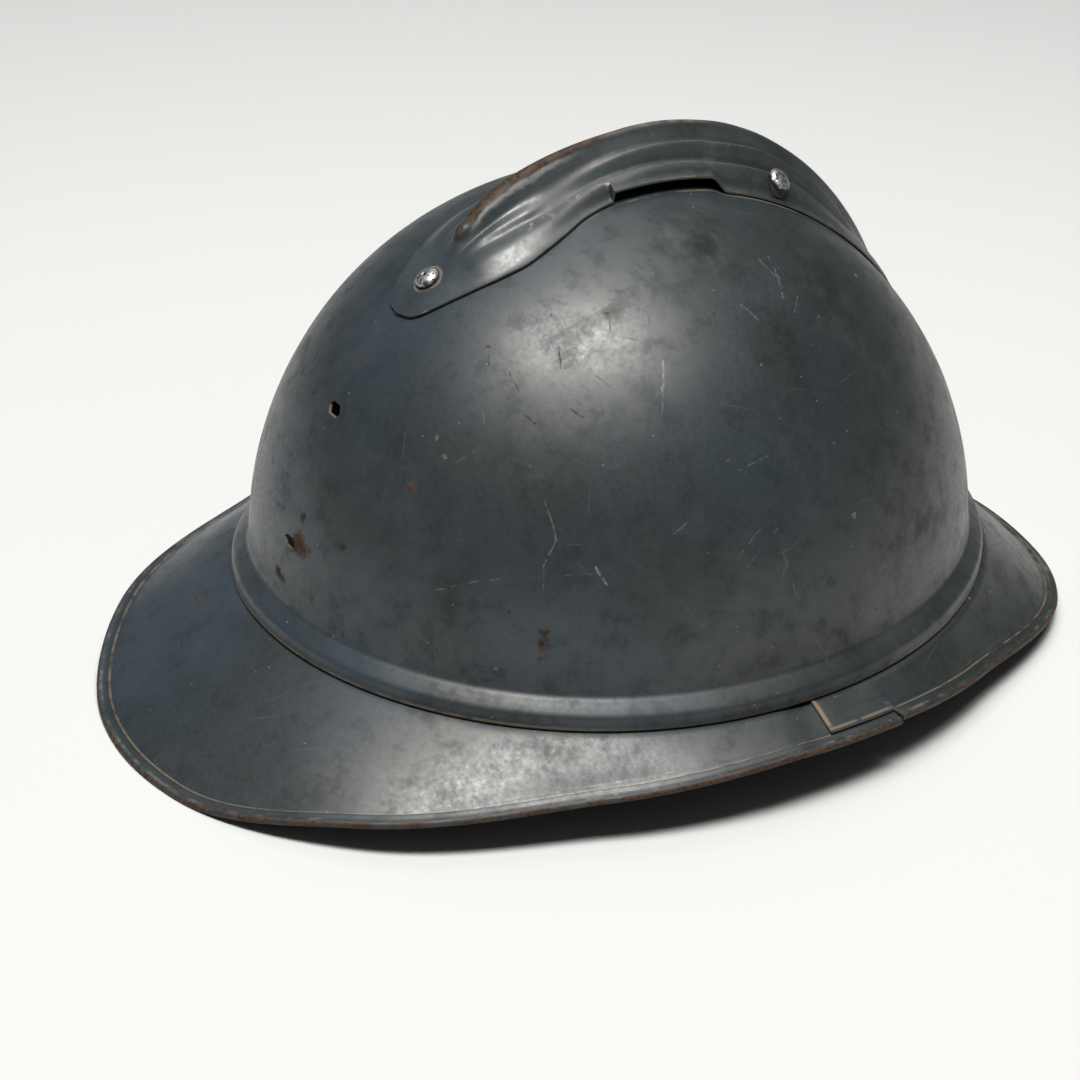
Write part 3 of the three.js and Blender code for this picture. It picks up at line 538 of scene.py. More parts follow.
def make_bowl():
    angles = np.arange(BOWL_COLUMNS) / BOWL_COLUMNS * 2 * math.pi
    stacks = [bowl_column(a) for a in angles]
    count = len(stacks[0][0])
    outer_top = stacks[0][1] + DOME_RINGS
    points = np.vstack([s[0] for s in stacks])
    faces = loft_faces(BOWL_COLUMNS, count, True)
    cap = [f for f in faces if f[0] % count == outer_top]
    kept = [f for f in faces if f[0] % count != outer_top]
    top_outside, top_inside = len(points), len(points) + 1
    points = np.vstack([points, [[0, 0, FOOT_HEIGHT + DOME_RISE], [0, 0, FOOT_HEIGHT + DOME_RISE - SHEET]]])
    for a, b, c, d in cap:
        kept.append([a, b, top_outside])
        kept.append([d, top_inside, c])
    outwards = points - (0, 0, DENT_CENTRE_HEIGHT)
    outwards /= np.linalg.norm(outwards, axis=1)[:, None]
    points = points - outwards * dent_depth(points)[:, None]
    attributes = {"collar_up": collar_share(points), "from_crest": crest_distance(points)}
    attributes["inside"] = np.append(np.tile(np.arange(count) > outer_top, BOWL_COLUMNS), [0, 1])
    bowl = make_piece("bowl_shell", points, kept, SHARP_CUT_DEG, attributes)
    slots = []
    for rise in SLOT_RISES:
        y = -FRONT_REACH * (1 - (rise / DOME_RISE) ** FRONT_FULLNESS) ** (1 / FRONT_FULLNESS)
        slots.append(prism("slot", slot_outline(), y - SLOT_CUT, y + SLOT_CUT,
                           lambda u, v, h, rise=rise: (u, h, FOOT_HEIGHT + rise + v)))
    vent_y, vent_z = over_dome(VENT_CENTRE_DEG, 0, 0)[1:]
    vent = prism("vent", oblong(VENT_LENGTH / 2, VENT_WIDTH / 2), vent_z - VENT_CUT, vent_z + VENT_CUT,
                 lambda u, v, h: (u, v + vent_y, h))
    cut_from(bowl, slots + [vent] + [rivet_hole(lean, x) for _, lean, x in RIVETS])
    shade(bowl, SHARP_CUT_DEG)
    return bowl


# Brim

EDGE = columns(BRIM_EDGE, EDGE_COLUMNS)


def edge_out(deg):
    return (SIDE_REACH + table_value(EDGE, "deg", "front", deg) * (VISOR_REACH - SIDE_REACH)
            + table_value(EDGE, "deg", "rear", deg) * (GUARD_REACH - SIDE_REACH))


def edge_height(deg):
    return SHEET / 2 - EDGE_WEAR + SIDE_LIFT * table_value(EDGE, "deg", "lift", deg)


def brim_line(deg, set_in, trim):
    lip = collar_lip(math.radians(deg))
    collar = collar_line(lip, 1)
    inside = offset_line(collar, SHEET * 1.5 + GAP)[1:1 + FLANGE_POINTS][::-1]
    bend = [inside[-1][0], lip - SHEET - GAP]
    foot = np.array([COLLAR_OUT + SHEET, lip - SHEET * 1.5 - GAP])
    rim = np.array([edge_out(deg) - set_in - HEM_THICK / 2, edge_height(deg)])
    end = 1 - trim / np.linalg.norm(rim - foot)
    t = np.linspace(0, 1, 9)[1:, None] * end
    plate = lerp(foot, rim, t) + np.array([0, BRIM_CROWN * math.cos(math.radians(deg))]) * 4 * t * (1 - t)
    return np.vstack([inside, bend, foot, plate])


def brim_section(deg, drop=0.0, set_in=0.0, trim=0.0):
    """One closed section, and for each of its points the distance in from the rim."""
    hem = trim == 0
    line = offset_line(brim_line(deg, set_in, trim), -drop)
    rim = line[-1]
    away = (rim - line[-2]) / np.linalg.norm(rim - line[-2])
    up = np.array([-away[1], away[0]])
    sheet = round_corners(line, 2)[:-2]
    top = offset_line(sheet, SHEET / 2)
    bottom = offset_line(sheet, -SHEET / 2)[::-1]
    thick = HEM_THICK if hem else SHEET
    base = -SHEET / 2 + thick / 2
    reach = HEM_THICK / 2 - thick / 2
    turn = np.linspace(math.pi / 2, -math.pi / 2, HEM_ARC_STEPS + 1)
    arc = [(reach + thick / 2 * math.cos(a), base + thick / 2 * math.sin(a)) for a in turn]
    fold = HEM_WIDTH - HEM_THICK / 2
    crown = SHEET / 2 + HEM_STEP
    lead = [(-fold - 1.2, SHEET / 2), (-fold - 0.35, SHEET / 2 - 0.03), (-fold - 0.1, SHEET / 2 + 0.02),
            (-fold, SHEET / 2 + 0.5 * HEM_STEP), (-fold + 0.12, crown - 0.1), (-fold + 0.4, crown),
            (-fold + 1.3, crown + 0.06), (-fold + 2.1, crown + 0.3), (-0.45, arc[0][1] - 0.1)]
    if not hem:
        lead = [(along, SHEET / 2) for along, _ in lead]
    limit = -fold - 1.3
    keep = (top - rim) @ away < limit
    edge = np.array([rim + away * a + up * b for a, b in lead + arc])
    spare = (~keep).sum()
    top[~keep] = lerp(top[keep][-1], edge[0], np.arange(1, spare + 1)[:, None] / (spare + 1))
    loop = np.vstack([top, edge, bottom])
    inwards = -((loop - rim) @ away) + HEM_THICK / 2
    return loop, inwards


def brim_piece(name, stations):
    """A lofted brim plate. Each station is degrees round and the section's options."""
    points, inwards, around = [], [], []
    for deg, options in stations:
        folded = 360 - deg if deg > 180 else abs(deg)
        loop, inward = brim_section(folded, **options)
        x, y = plan_point(math.radians(deg), loop[:, 0])
        points.append(np.stack([x, y, np.maximum(loop[:, 1], 0)], 1))
        inwards.append(inward)
        around.append(np.full(len(loop), deg))
    faces = strip_faces(len(points), len(points[0]))
    attributes = {"from_rim": np.concatenate(inwards), "round_deg": np.concatenate(around)}
    return make_piece(name, np.vstack(points), faces, 38, attributes)


def spread(start, end, step):
    count = math.ceil((end - start) / step)
    return [lerp(start, end, i / count) for i in range(count + 1)]


def make_visor():
    dip_end = LAP_START_DEG - LAP_CLEAR_DEG
    dip_start = dip_end - JOGGLE_DEG
    degs = spread(-LAP_END_DEG, LAP_END_DEG, BRIM_STEP_DEG)
    stations = [(deg, {"drop": (SHEET + GAP) * float(smooth((abs(deg) - dip_start) / JOGGLE_DEG))})
                for deg in degs]
    return brim_piece("front_visor_plate", stations)


def make_neck_guard():
    hem_start = LAP_END_DEG + HEM_CLEAR_DEG
    side = [(deg, {"trim": HEM_WIDTH + GAP}) for deg in spread(LAP_START_DEG, LAP_END_DEG, BRIM_STEP_DEG)]
    for deg in spread(hem_start, 180, BRIM_STEP_DEG):
        fade = 1 - float(smooth((deg - hem_start) / SET_IN_FADE_DEG))
        side.append((deg, {"set_in": GUARD_SET_IN * fade}))
    other = [(360 - deg, options) for deg, options in side[:-1]][::-1]
    return brim_piece("neck_guard_plate", side + other)


# Crest

def along_at(lean):
    return -lean / CREST_FRONT_DEG if lean < 0 else lean / CREST_REAR_DEG


def notch_at(lean):
    front = (lean - NOTCH_FRONT_DEG) / NOTCH_FRONT_RAMP_DEG
    rear = (NOTCH_REAR_DEG + NOTCH_REAR_RAMP_DEG - lean) / NOTCH_REAR_RAMP_DEG
    return float(min(smooth(front), smooth(rear)))


def crest_half(lean):
    """Half of the crest's outside in section, from the ridge to the edge."""
    along = along_at(lean)
    half = CREST_HALF_WIDTH * float(table_value(OUTLINE, "along", "half", along))
    lift = NOTCH_RISE * notch_at(lean)

    def value(column):
        return float(table_value(PROFILE, "along", column, along))

    points = [[min(value(name + "X") * CREST_HALF_WIDTH, half * limit),
               CREST_SEAT + value(name + "H") * CREST_HEIGHT] for name, limit in MOULDING_POINTS]
    points[-1][1] += lift
    ridge = [0, CREST_SEAT + value("ridgeH") * CREST_HEIGHT]
    crown = [points[0][0] * RIDGE_ROUND[0], lerp(points[0][1], ridge[1], RIDGE_ROUND[1])]
    return np.array([ridge, crown, *points, [half, CREST_SEAT + lift]]), lift


def crest_loop(lean):
    corners, lift = crest_half(lean)
    mirrored = corners[1:2] * (-1, 1)
    fine = curve_through(np.vstack([mirrored, corners]), CREST_STEPS)[CREST_STEPS:]
    half = corners[-1][0]
    flat = np.array([[lerp(corners[-2][0], half, t), CREST_SEAT + lift] for t in (0.5, 1)])
    outside = np.vstack([fine[:-CREST_STEPS], flat])
    edge = np.array([[half + 0.1, CREST_SEAT + lift - 0.2], [half + 0.08, GAP + lift + 0.18]])
    hollow = offset_line(np.vstack([mirrored, corners[[0, 2, 3, 5, 7, 8]]]), -SHEET)[1:]
    hollow[-1] = [half * 0.985, GAP + lift]
    hollow[:, 1] = np.maximum(hollow[:, 1], GAP + lift / 2)
    right = np.vstack([outside, edge, hollow[::-1]])
    left = (right[1:-1] * (-1, 1))[::-1]
    loop = np.vstack([right, left])
    share = np.arange(len(outside)) / (len(outside) - 1)
    half_share = np.concatenate([share, np.full(len(right) - len(outside), 1.2)])
    section = np.concatenate([half_share, half_share[1:-1][::-1]])
    return over_dome(lean, loop[:, 0], loop[:, 1]), section


def crest_height(lean, x):
    corners, _ = crest_half(lean)
    return float(np.interp(abs(x), corners[:, 0], corners[:, 1]))


def on_crest(lean, x, rise=0.0):
    """A place on top of the crest, in metres in the shared frame."""
    return framed(over_dome(lean, x, crest_height(lean, x) + rise))


def raise_boss(crest):
    """A small round boss where the ridge ends at the front."""
    middle = Vector(on_crest(BOSS_LEAN_DEG, 0))
    out = Vector(over_dome(BOSS_LEAN_DEG, 0, 1) - over_dome(BOSS_LEAN_DEG, 0, 0))
    for vertex in crest.data.vertices:
        away = (vertex.co - middle).length / (BOSS_RADIUS * MM)
        vertex.co += out * (BOSS_RISE * MM * math.exp(-away * away * away))


def make_crest():
    notch = [NOTCH_FRONT_DEG, NOTCH_FRONT_DEG + NOTCH_FRONT_RAMP_DEG,
             NOTCH_REAR_DEG, NOTCH_REAR_DEG + NOTCH_REAR_RAMP_DEG]
    tips = [CREST_FRONT_DEG + d for d in (0.05, 0.12, 0.25)] + [CREST_REAR_DEG - d for d in (0.3, 0.15, 0.06)]
    leans = spread(CREST_FRONT_DEG, CREST_REAR_DEG, CREST_STEP_DEG)
    leans = [d for d in leans if all(abs(d - n) > 0.12 for n in notch)]
    leans = sorted(leans + notch + tips)
    loops = [crest_loop(lean) for lean in leans]
    count = len(loops[0][1])
    faces = strip_faces(len(loops), count)
    attributes = {"section": np.concatenate([s for _, s in loops]), "lean_deg": np.repeat(leans, count)}
    crest = make_piece("crest_comb", np.vstack([p for p, _ in loops]), faces, SHARP_CUT_DEG, attributes)
    raise_boss(crest)
    cut_from(crest, [rivet_hole(lean, x) for _, lean, x in RIVETS])
    shade(crest, SHARP_CUT_DEG)
    return crest


# Rivets


def crest_slope(lean, x):
    """How steeply the crest rises across a rivet's head."""
    rise = crest_height(lean, x + RIVET_HEAD_RADIUS) - crest_height(lean, x - RIVET_HEAD_RADIUS)
    return RIVET_LEAN * rise / (2 * RIVET_HEAD_RADIUS)


def seat_height(lean, x):
    """Height of the head's underside at its axis, just clear of the sheet below all of the head."""
    heights = [crest_height(lean, x)]
    slope = crest_slope(lean, x)
    for turn in np.linspace(0, 2 * math.pi, 11)[:-1]:
        for reach in (0.5, 1.0):
            u = RIVET_HEAD_RADIUS * reach * math.cos(turn)
            v = RIVET_HEAD_RADIUS * reach * math.sin(turn)
            heights.append(crest_height(lean + math.degrees(v / DOME_RISE), x + u) - slope * u)
    return max(heights)


RIVET_HEAD = [(0.985, 0.00), (1.00, 0.10), (0.985, 0.26), (0.94, 0.42), (0.86, 0.58), (0.74, 0.74),
              (0.60, 0.86), (0.45, 0.94), (0.30, 0.985), (0.20, 0.99)]
RIVET_SKIRT = (0.46, 0.66, 0.86)
RIVET_SKIRT_GAP = 0.12
RIVET_LEG_LONG = 6.5
RIVET_LEG_THICK = 0.7
RIVET_LEG_GAP = 0.05
RIVET_LEG_SAG = 0.5
# How far along a rivet's leg, and half its width there
RIVET_LEG = [(0.1, 1.35), (0.5, 1.45), (0.8, 1.35), (0.93, 1.0), (1.0, 0.5)]


def make_rivet(name, lean, x):
    seat = seat_height(lean, x) + GAP * 0.2
    slope = crest_slope(lean, x)
    place = rivet_place(lean, x)
    under = -SHEET - GAP
    line = [(0, under), (RIVET_SHANK_RADIUS, under)]
    skirt = [(RIVET_HEAD_RADIUS * r, None) for r in RIVET_SKIRT]
    line += skirt + [(RIVET_HEAD_RADIUS * RIVET_SKIRT[-1], seat)]
    line += [(RIVET_HEAD_RADIUS * r, seat + RIVET_HEAD_RISE * h) for r, h in RIVET_HEAD]
    line += [(RIVET_HOLE_RADIUS, seat + RIVET_HEAD_RISE * 0.95),
             (RIVET_HOLE_RADIUS * 0.85, seat + RIVET_HEAD_RISE * 0.55), (0, seat + RIVET_HEAD_RISE * 0.5)]
    inner = line[1:-1]
    turn = np.arange(RIVET_SIDES) / RIVET_SIDES * 2 * math.pi
    points, radius = [], []
    for a in turn:
        for row, (r, h) in enumerate(inner):
            u, v = r * math.cos(a), r * math.sin(a)
            if h is None:
                sheet = crest_height(lean + math.degrees(v / DOME_RISE), x + u) + RIVET_SKIRT_GAP
                h = min(sheet, seat + slope * u)
            elif h > seat - 0.01:
                h += slope * u
            points.append(place(u, v, h))
            # The shank and the skirt get a radius past the head's, which the alloy material turns near-black
            # as painted shadow under the head
            radius.append(r if row > len(skirt) + 1 else RIVET_HEAD_RADIUS * 1.1)
    count = len(inner)
    faces = loft_faces(RIVET_SIDES, count, True, closed_line=False)
    bottom, top = len(points), len(points) + 1
    points += [place(0, 0, line[0][1]), place(0, 0, line[-1][1])]
    radius += [0, 0]
    for i in range(RIVET_SIDES):
        a, b = i * count, (i + 1) % RIVET_SIDES * count
        faces.append([bottom, b, a])
        faces.append([a + count - 1, b + count - 1, top])
    for side in (-1, 1):
        faces += leg_faces(points, place, side, under)
    radius += [0] * (len(points) - len(radius))
    return make_piece(name, points, faces, 45, {"radius": np.array(radius) / RIVET_HEAD_RADIUS})


def leg_faces(points, place, side, under):
    """One of the two legs bent over inside the bowl: a flat strip that tapers to a round end."""
    start = len(points)
    for share, wide in RIVET_LEG:
        for v, h in ((-wide, 0), (wide, 0), (wide, -RIVET_LEG_THICK), (-wide, -RIVET_LEG_THICK)):
            drop = RIVET_LEG_GAP + RIVET_LEG_SAG * share
            points.append(place(v, side * share * RIVET_LEG_LONG, under - drop + h))
    faces = []
    for i in range(len(RIVET_LEG) - 1):
        a, b = start + 4 * i, start + 4 * i + 4
        faces += [[a + j, a + (j + 1) % 4, b + (j + 1) % 4, b + j][::side] for j in range(4)]
    faces.append([start + j for j in range(4)][::-side])
    last = start + 4 * (len(RIVET_LEG) - 1)
    faces.append([last + j for j in range(4)][::side])
    return faces


# Camera


def camera_axes():
    """The camera's place, right, up and back directions."""
    az, el, roll = (math.radians(v) for v in (CAMERA_AZIMUTH, CAMERA_ELEVATION, CAMERA_ROLL))
    back = Vector((math.sin(az) * math.cos(el), -math.cos(az) * math.cos(el), math.sin(el)))
    right = Vector((math.cos(az), math.sin(az), 0))
    up = back.cross(right)
    turned_right = right * math.cos(roll) + up * math.sin(roll)
    turned_up = up * math.cos(roll) - right * math.sin(roll)
    return (Vector(CAMERA_TARGET) + back * CAMERA_DISTANCE) * MM, turned_right, turned_up, back


def make_camera():
    place, right, up, back = camera_axes()
    data = bpy.data.cameras.new("camera")
    data.sensor_width = SENSOR
    data.lens = FOCAL_PIXELS / PHOTO_SIDE * SENSOR
    data.clip_start, data.clip_end = 0.05, 50
    camera = bpy.data.objects.new("camera", data)
    turn = Matrix((right, up, back)).transposed()
    camera.matrix_world = Matrix.Translation(place) @ turn.to_4x4()
    bpy.context.scene.collection.objects.link(camera)
    bpy.context.scene.camera = camera


make_camera()


# Pieces

PIECES = {
    "bowl": make_bowl(),
    "front_visor": make_visor(),
    "neck_guard": make_neck_guard(),
    "crest": make_crest(),
}
for rivet_name, rivet_lean, rivet_x in RIVETS:
    PIECES[rivet_name] = make_rivet(rivet_name + "_head", rivet_lean, rivet_x)
for node, piece in PIECES.items():
    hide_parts(node)
    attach(piece, "root")


# Places in the photograph


def seen_at(pixel, tree):
    """The point of a piece, in metres, that the camera sees at a pixel of the photograph."""
    place, right, up, back = camera_axes()
    half = PHOTO_SIDE / 2
    ray = (right * (pixel[0] - half) + up * (half - pixel[1]) - back * FOCAL_PIXELS).normalized()
    return tree.ray_cast(place, ray)[0]


def surface_tree(piece):
    mesh = piece.data
    return BVHTree.FromPolygons([v.co for v in mesh.vertices], [p.vertices[:] for p in mesh.polygons])


def mark_area(piece, key, rows):
    """Stores soft round areas on a piece: rows of a pixel, a radius in millimetres and a strength."""
    tree = surface_tree(piece)
    points = read_rows(piece.data.vertices, "co")
    area = np.zeros(len(points))
    for pixel, radius, strength in rows:
        away = np.linalg.norm(points - np.array(seen_at(pixel, tree)), axis=1)
        area = np.maximum(area, strength * smooth(1 - away / (radius * MM)))
    store(piece.data, key, area)


# Materials


class Value:
    """A number that varies over a surface. Sums and products of these make Math nodes."""

    def __init__(self, finish, socket):
        self.finish = finish
        self.socket = socket

    def math(self, operation, other=0.0, clamp=False):
        return self.finish.math(operation, self, other, clamp)

    def __add__(self, other):
        return self.math("ADD", other)

    def __mul__(self, other):
        return self.math("MULTIPLY", other)

    def __sub__(self, other):
        return self.math("SUBTRACT", other)

    def __rsub__(self, other):
        return self.finish.math("SUBTRACT", other, self)

    def most(self, other):
        return self.math("MAXIMUM", other)

    def size(self):
        return self.math("ABSOLUTE")

    def between(self, start, end):
        """0 at start and before it, 1 at end and past it, with a smooth step between."""
        made = self.finish.node("MapRange", {"Value": self, "From Min": start, "From Max": end},
                                interpolation_type="SMOOTHSTEP")
        return Value(self.finish, made.outputs["Result"])

    def near(self, centre, width, fade):
        """1 within half a width of a centre, fading to 0 past it."""
        return (self - centre).size().between(width / 2 + fade, width / 2)


class Finish:
    """One material's nodes. Lengths are in metres, as the object's own coordinates are."""

    def __init__(self, name):
        self.material = bpy.data.materials.new(name)
        self.material.use_nodes = True
        self.tree = self.material.node_tree
        self.surface = self.tree.nodes["Principled BSDF"]
        self.place = self.node("TexCoord").outputs["Object"]
        self.normal = self.node("NewGeometry").outputs["Normal"]

    def node(self, kind, inputs=None, **settings):
        made = self.tree.nodes.new("ShaderNode" + kind)
        for key, value in settings.items():
            setattr(made, key, value)
        for key, value in (inputs or {}).items():
            self.feed(made.inputs[key], value)
        return made

    def feed(self, socket, value):
        if isinstance(value, Value):
            value = value.socket
        if isinstance(value, bpy.types.NodeSocket):
            self.tree.links.new(value, socket)
        elif socket.type == "RGBA":
            socket.default_value = (*value, 1)
        else:
            socket.default_value = value

    def math(self, operation, a, b=0.0, clamp=False):
        made = self.node("Math", {0: a, 1: b}, operation=operation, use_clamp=clamp)
        return Value(self, made.outputs[0])

    def vector(self, operation, a, b=(0, 0, 0)):
        return self.node("VectorMath", {0: a, 1: b}, operation=operation).outputs[0]

    def scaled(self, vector, factor):
        made = self.node("VectorMath", {0: vector, "Scale": factor}, operation="SCALE")
        return made.outputs[0]

    def dot(self, a, b):
        made = self.node("VectorMath", {0: a, 1: b}, operation="DOT_PRODUCT")
        return Value(self, made.outputs["Value"])

    def length(self, vector):
        made = self.node("VectorMath", {0: vector}, operation="LENGTH")
        return Value(self, made.outputs["Value"])

    def axis(self, name):
        made = self.node("SeparateXYZ", {"Vector": self.place})
        return Value(self, made.outputs[name])

    def attribute(self, name):
        return Value(self, self.node("Attribute", attribute_name=name).outputs["Fac"])

    def noise(self, scale, detail, roughness, shift=None):
        place = self.place
        if shift:
            place = self.node("Mapping", {"Vector": place, "Location": shift}).outputs[0]
        made = self.node("TexNoise", {"Vector": place, "Scale": scale, "Detail": detail,
                                      "Roughness": roughness})
        return Value(self, made.outputs["Fac"])

    def warped(self, amount, scale, detail=2.0):
        """The place, moved about by noise, so that listed marks get ragged edges."""
        made = self.node("TexNoise", {"Vector": self.place, "Scale": scale, "Detail": detail})
        shift = self.vector("SUBTRACT", made.outputs["Color"], (0.5, 0.5, 0.5))
        return self.vector("ADD", self.place, self.scaled(shift, amount))

    def cells(self, scale, place=None):
        """Distance to the nearest of many scattered points, that point, and a random colour for it."""
        made = self.node("TexVoronoi", {"Vector": place or self.place, "Scale": scale})
        return Value(self, made.outputs["Distance"]), made.outputs["Position"], made.outputs["Color"]

    def channel(self, colour, name):
        return Value(self, self.node("SeparateColor", {"Color": colour}).outputs[name])

    def hairlines(self, scale, wide, long, share):
        """Thin straight scratches at random places, each lying in the surface and turned at random."""
        _, position, colour = self.cells(scale)
        turn = self.vector("SUBTRACT", colour, (0.5, 0.5, 0.5))
        across = self.vector("NORMALIZE", self.vector("CROSS_PRODUCT", self.normal, turn))
        away = self.vector("SUBTRACT", self.place, position)
        line = self.dot(away, across).size().between(wide, wide * 0.3)
        ends = self.length(away).between(long, long * 0.55)
        there = self.channel(colour, "Blue").between(share + 0.01, share - 0.01)
        return line * ends * there

    def stroke(self, place, start, end, wide, strength):
        """A listed scratch from one point to another."""
        start, end = Vector(start), Vector(end)
        way = end - start
        from_start = self.vector("SUBTRACT", place, tuple(start))
        share = self.dot(from_start, tuple(way / way.length_squared)).math("ADD", 0.0, clamp=True)
        nearest = self.scaled(tuple(way), share)
        away = self.length(self.vector("SUBTRACT", from_start, nearest))
        line = self.node("MapRange", {"Value": away, "From Min": wide, "From Max": wide * 0.25,
                                      "To Max": strength})
        return Value(self, line.outputs["Result"])

    def distance_from(self, place, centre):
        return self.length(self.vector("SUBTRACT", place, tuple(centre)))

    def blend(self, share, under, over):
        made = self.node("Mix", {0: share, 6: under, 7: over}, data_type="RGBA", clamp_factor=True)
        return made.outputs[2]

    def strongest(self, values):
        """The largest of many values. Each is joined on as it is made, which keeps the material small."""
        total = None
        for value in values:
            total = value if total is None else total.most(value)
        return total

    def finish(self, colour, roughness, height, bump_size, metallic=None):
        self.feed(self.surface.inputs["Base Color"], colour)
        self.feed(self.surface.inputs["Roughness"], roughness)
        if metallic is not None:
            self.feed(self.surface.inputs["Metallic"], metallic)
        bump = self.node("Bump", {"Height": height, "Strength": 1.0, "Distance": bump_size})
        self.tree.links.new(bump.outputs["Normal"], self.surface.inputs["Normal"])
        return self.material


# Colours, linear
SLATE = (0.0092, 0.0146, 0.0176)
SLATE_BLUE = (0.0140, 0.0238, 0.0322)
OLIVE = (0.0072, 0.0116, 0.0112)
# Dark grime, also used as painted shade in creases, valleys and on the hem's step
GRIME_AND_SHADE = (0.0055, 0.0068, 0.0060)
# Pale warm haze, also used as a painted highlight
HAZE_AND_HIGHLIGHT = (0.0850, 0.0780, 0.0690)
# Pale paint bloom, also used on the crest as painted light
BLOOM_AND_PAINTED_LIGHT = (0.0560, 0.0660, 0.0680)
RUST = (0.0500, 0.0270, 0.0125)
RUST_DARK = (0.0180, 0.0085, 0.0050)
TAN = (0.1300, 0.0980, 0.0640)
SCRATCH = (0.1300, 0.1400, 0.1400)
# Bare steel, also used as a painted highlight on the crest's ridge
BARE_STEEL_AND_SHEEN = (0.2050, 0.2000, 0.1850)
ALLOY_GREY = (0.30, 0.30, 0.295)
ALLOY_PALE = (0.52, 0.52, 0.51)
# Dark alloy dirt, also used as painted shade and shadow on the rivets
ALLOY_DIRT_AND_SHADOW = (0.016, 0.016, 0.015)

# The front of the enamel is bluer and its rear olive, between these places in metres
FRONT_Y, REAR_Y = -0.07, 0.09

# Fine marks, in metres: random scratches, the grain of paint and alloy, how near a placed scratch its own
# material reaches, and the stains at the ridge's front end and round the front rivet
HAIR_WIDE = 0.00009
HAIR_LONG = 0.0075
PAINT_GRAIN = 0.00007
ALLOY_GRAIN = 0.00015
STROKE_REACH = 0.003
BOSS_GRIME = 0.0042
BOSS_RUST = 0.0019
STAIN_RING = 0.0042

# The enamel's shine: a broad soft part, and a narrower one as its coat
BROAD_SHINE = 0.41
BROAD_ROUGH = 0.17
COAT_SHINE = 0.56
COAT_IOR = 1.45
WARM_SHINE = (1.0, 0.95, 0.89)


class Enamel(Finish):
    """Old semi-gloss slate enamel, with the grime, haze, fine scratches and specks of every painted piece."""

    def __init__(self, name, seed):
        super().__init__(name)
        shift = (seed * 0.37, seed * 0.11, seed * 0.23)
        self.large = self.noise(20, 2, 0.5, shift)
        self.mottle = self.noise(110, 4, 0.70, shift)
        self.fine = self.noise(700, 2, 0.6, shift)
        self.patches = self.noise(38, 4, 0.62, shift)
        rearward = self.axis("Y") + (self.large - 0.5) * 0.10
        front = self.blend(self.large.between(0.34, 0.62), SLATE, SLATE_BLUE)
        self.colour = self.blend(rearward.between(FRONT_Y, REAR_Y), front, OLIVE)
        self.add(self.mottle.between(0.50, 0.68) * self.patches.between(0.4, 0.6) * 0.30, GRIME_AND_SHADE)
        self.add(self.fine.between(0.62, 0.70) * 0.45, GRIME_AND_SHADE)
        self.haze = self.mottle.between(0.52, 0.36) * self.patches.between(0.62, 0.42)
        self.add(self.haze * 0.14, BLOOM_AND_PAINTED_LIGHT)
        self.hairs = self.hairlines(60, HAIR_WIDE, HAIR_LONG, 0.5) * self.patches.between(0.44, 0.58)
        self.add(self.hairs * 0.34, SCRATCH)
        distance, _, colour = self.cells(480)
        dust = (distance - 0.11).between(0.05, -0.03) * self.channel(colour, "Red").between(0.045, 0.035)
        self.add(dust * 0.7, SCRATCH)
        place = self.warped(0.0034, 430, 2.0)
        distance, _, colour = self.cells(230, place)
        size = self.channel(colour, "Green") * 0.17
        spot = (distance - size).between(0.06, -0.04)
        kind = self.channel(colour, "Red")
        self.rust = spot * kind.between(0.036, 0.026) * 0.8
        self.chips = spot * kind.between(0.970, 0.977)

    def add(self, share, colour):
        self.colour = self.blend(share, self.colour, colour)

    def paint(self, roughness=0.37, extra_rough=None, dull=None):
        """Joins what is left of the layers and sets the surface. Dull areas lose their gloss."""
        rust_tone = self.blend(self.fine.between(0.4, 0.6), RUST_DARK, RUST)
        self.colour = self.blend(self.rust, self.colour, rust_tone)
        self.add(self.chips * 0.6, TAN)
        rough = (self.mottle - 0.5) * 0.26 + (self.fine - 0.5) * 0.24 + roughness + self.rust * 0.25
        if extra_rough is not None:
            rough = rough + extra_rough
        gloss = 1.0 - self.mottle.between(0.50, 0.66) * 0.3 - self.rust * 0.6
        if dull is not None:
            gloss = gloss - dull
        gloss = gloss.most(0.0)
        self.feed(self.surface.inputs["Specular IOR Level"], gloss * BROAD_SHINE)
        self.feed(self.surface.inputs["Coat Weight"], gloss * COAT_SHINE)
        self.feed(self.surface.inputs["Coat Roughness"], rough)
        self.surface.inputs["Coat IOR"].default_value = COAT_IOR
        self.feed(self.surface.inputs["Specular Tint"], WARM_SHINE)
        height = self.mottle * 0.5 + self.fine * 0.4
        return self.finish(self.colour, rough + BROAD_ROUGH, height, PAINT_GRAIN)


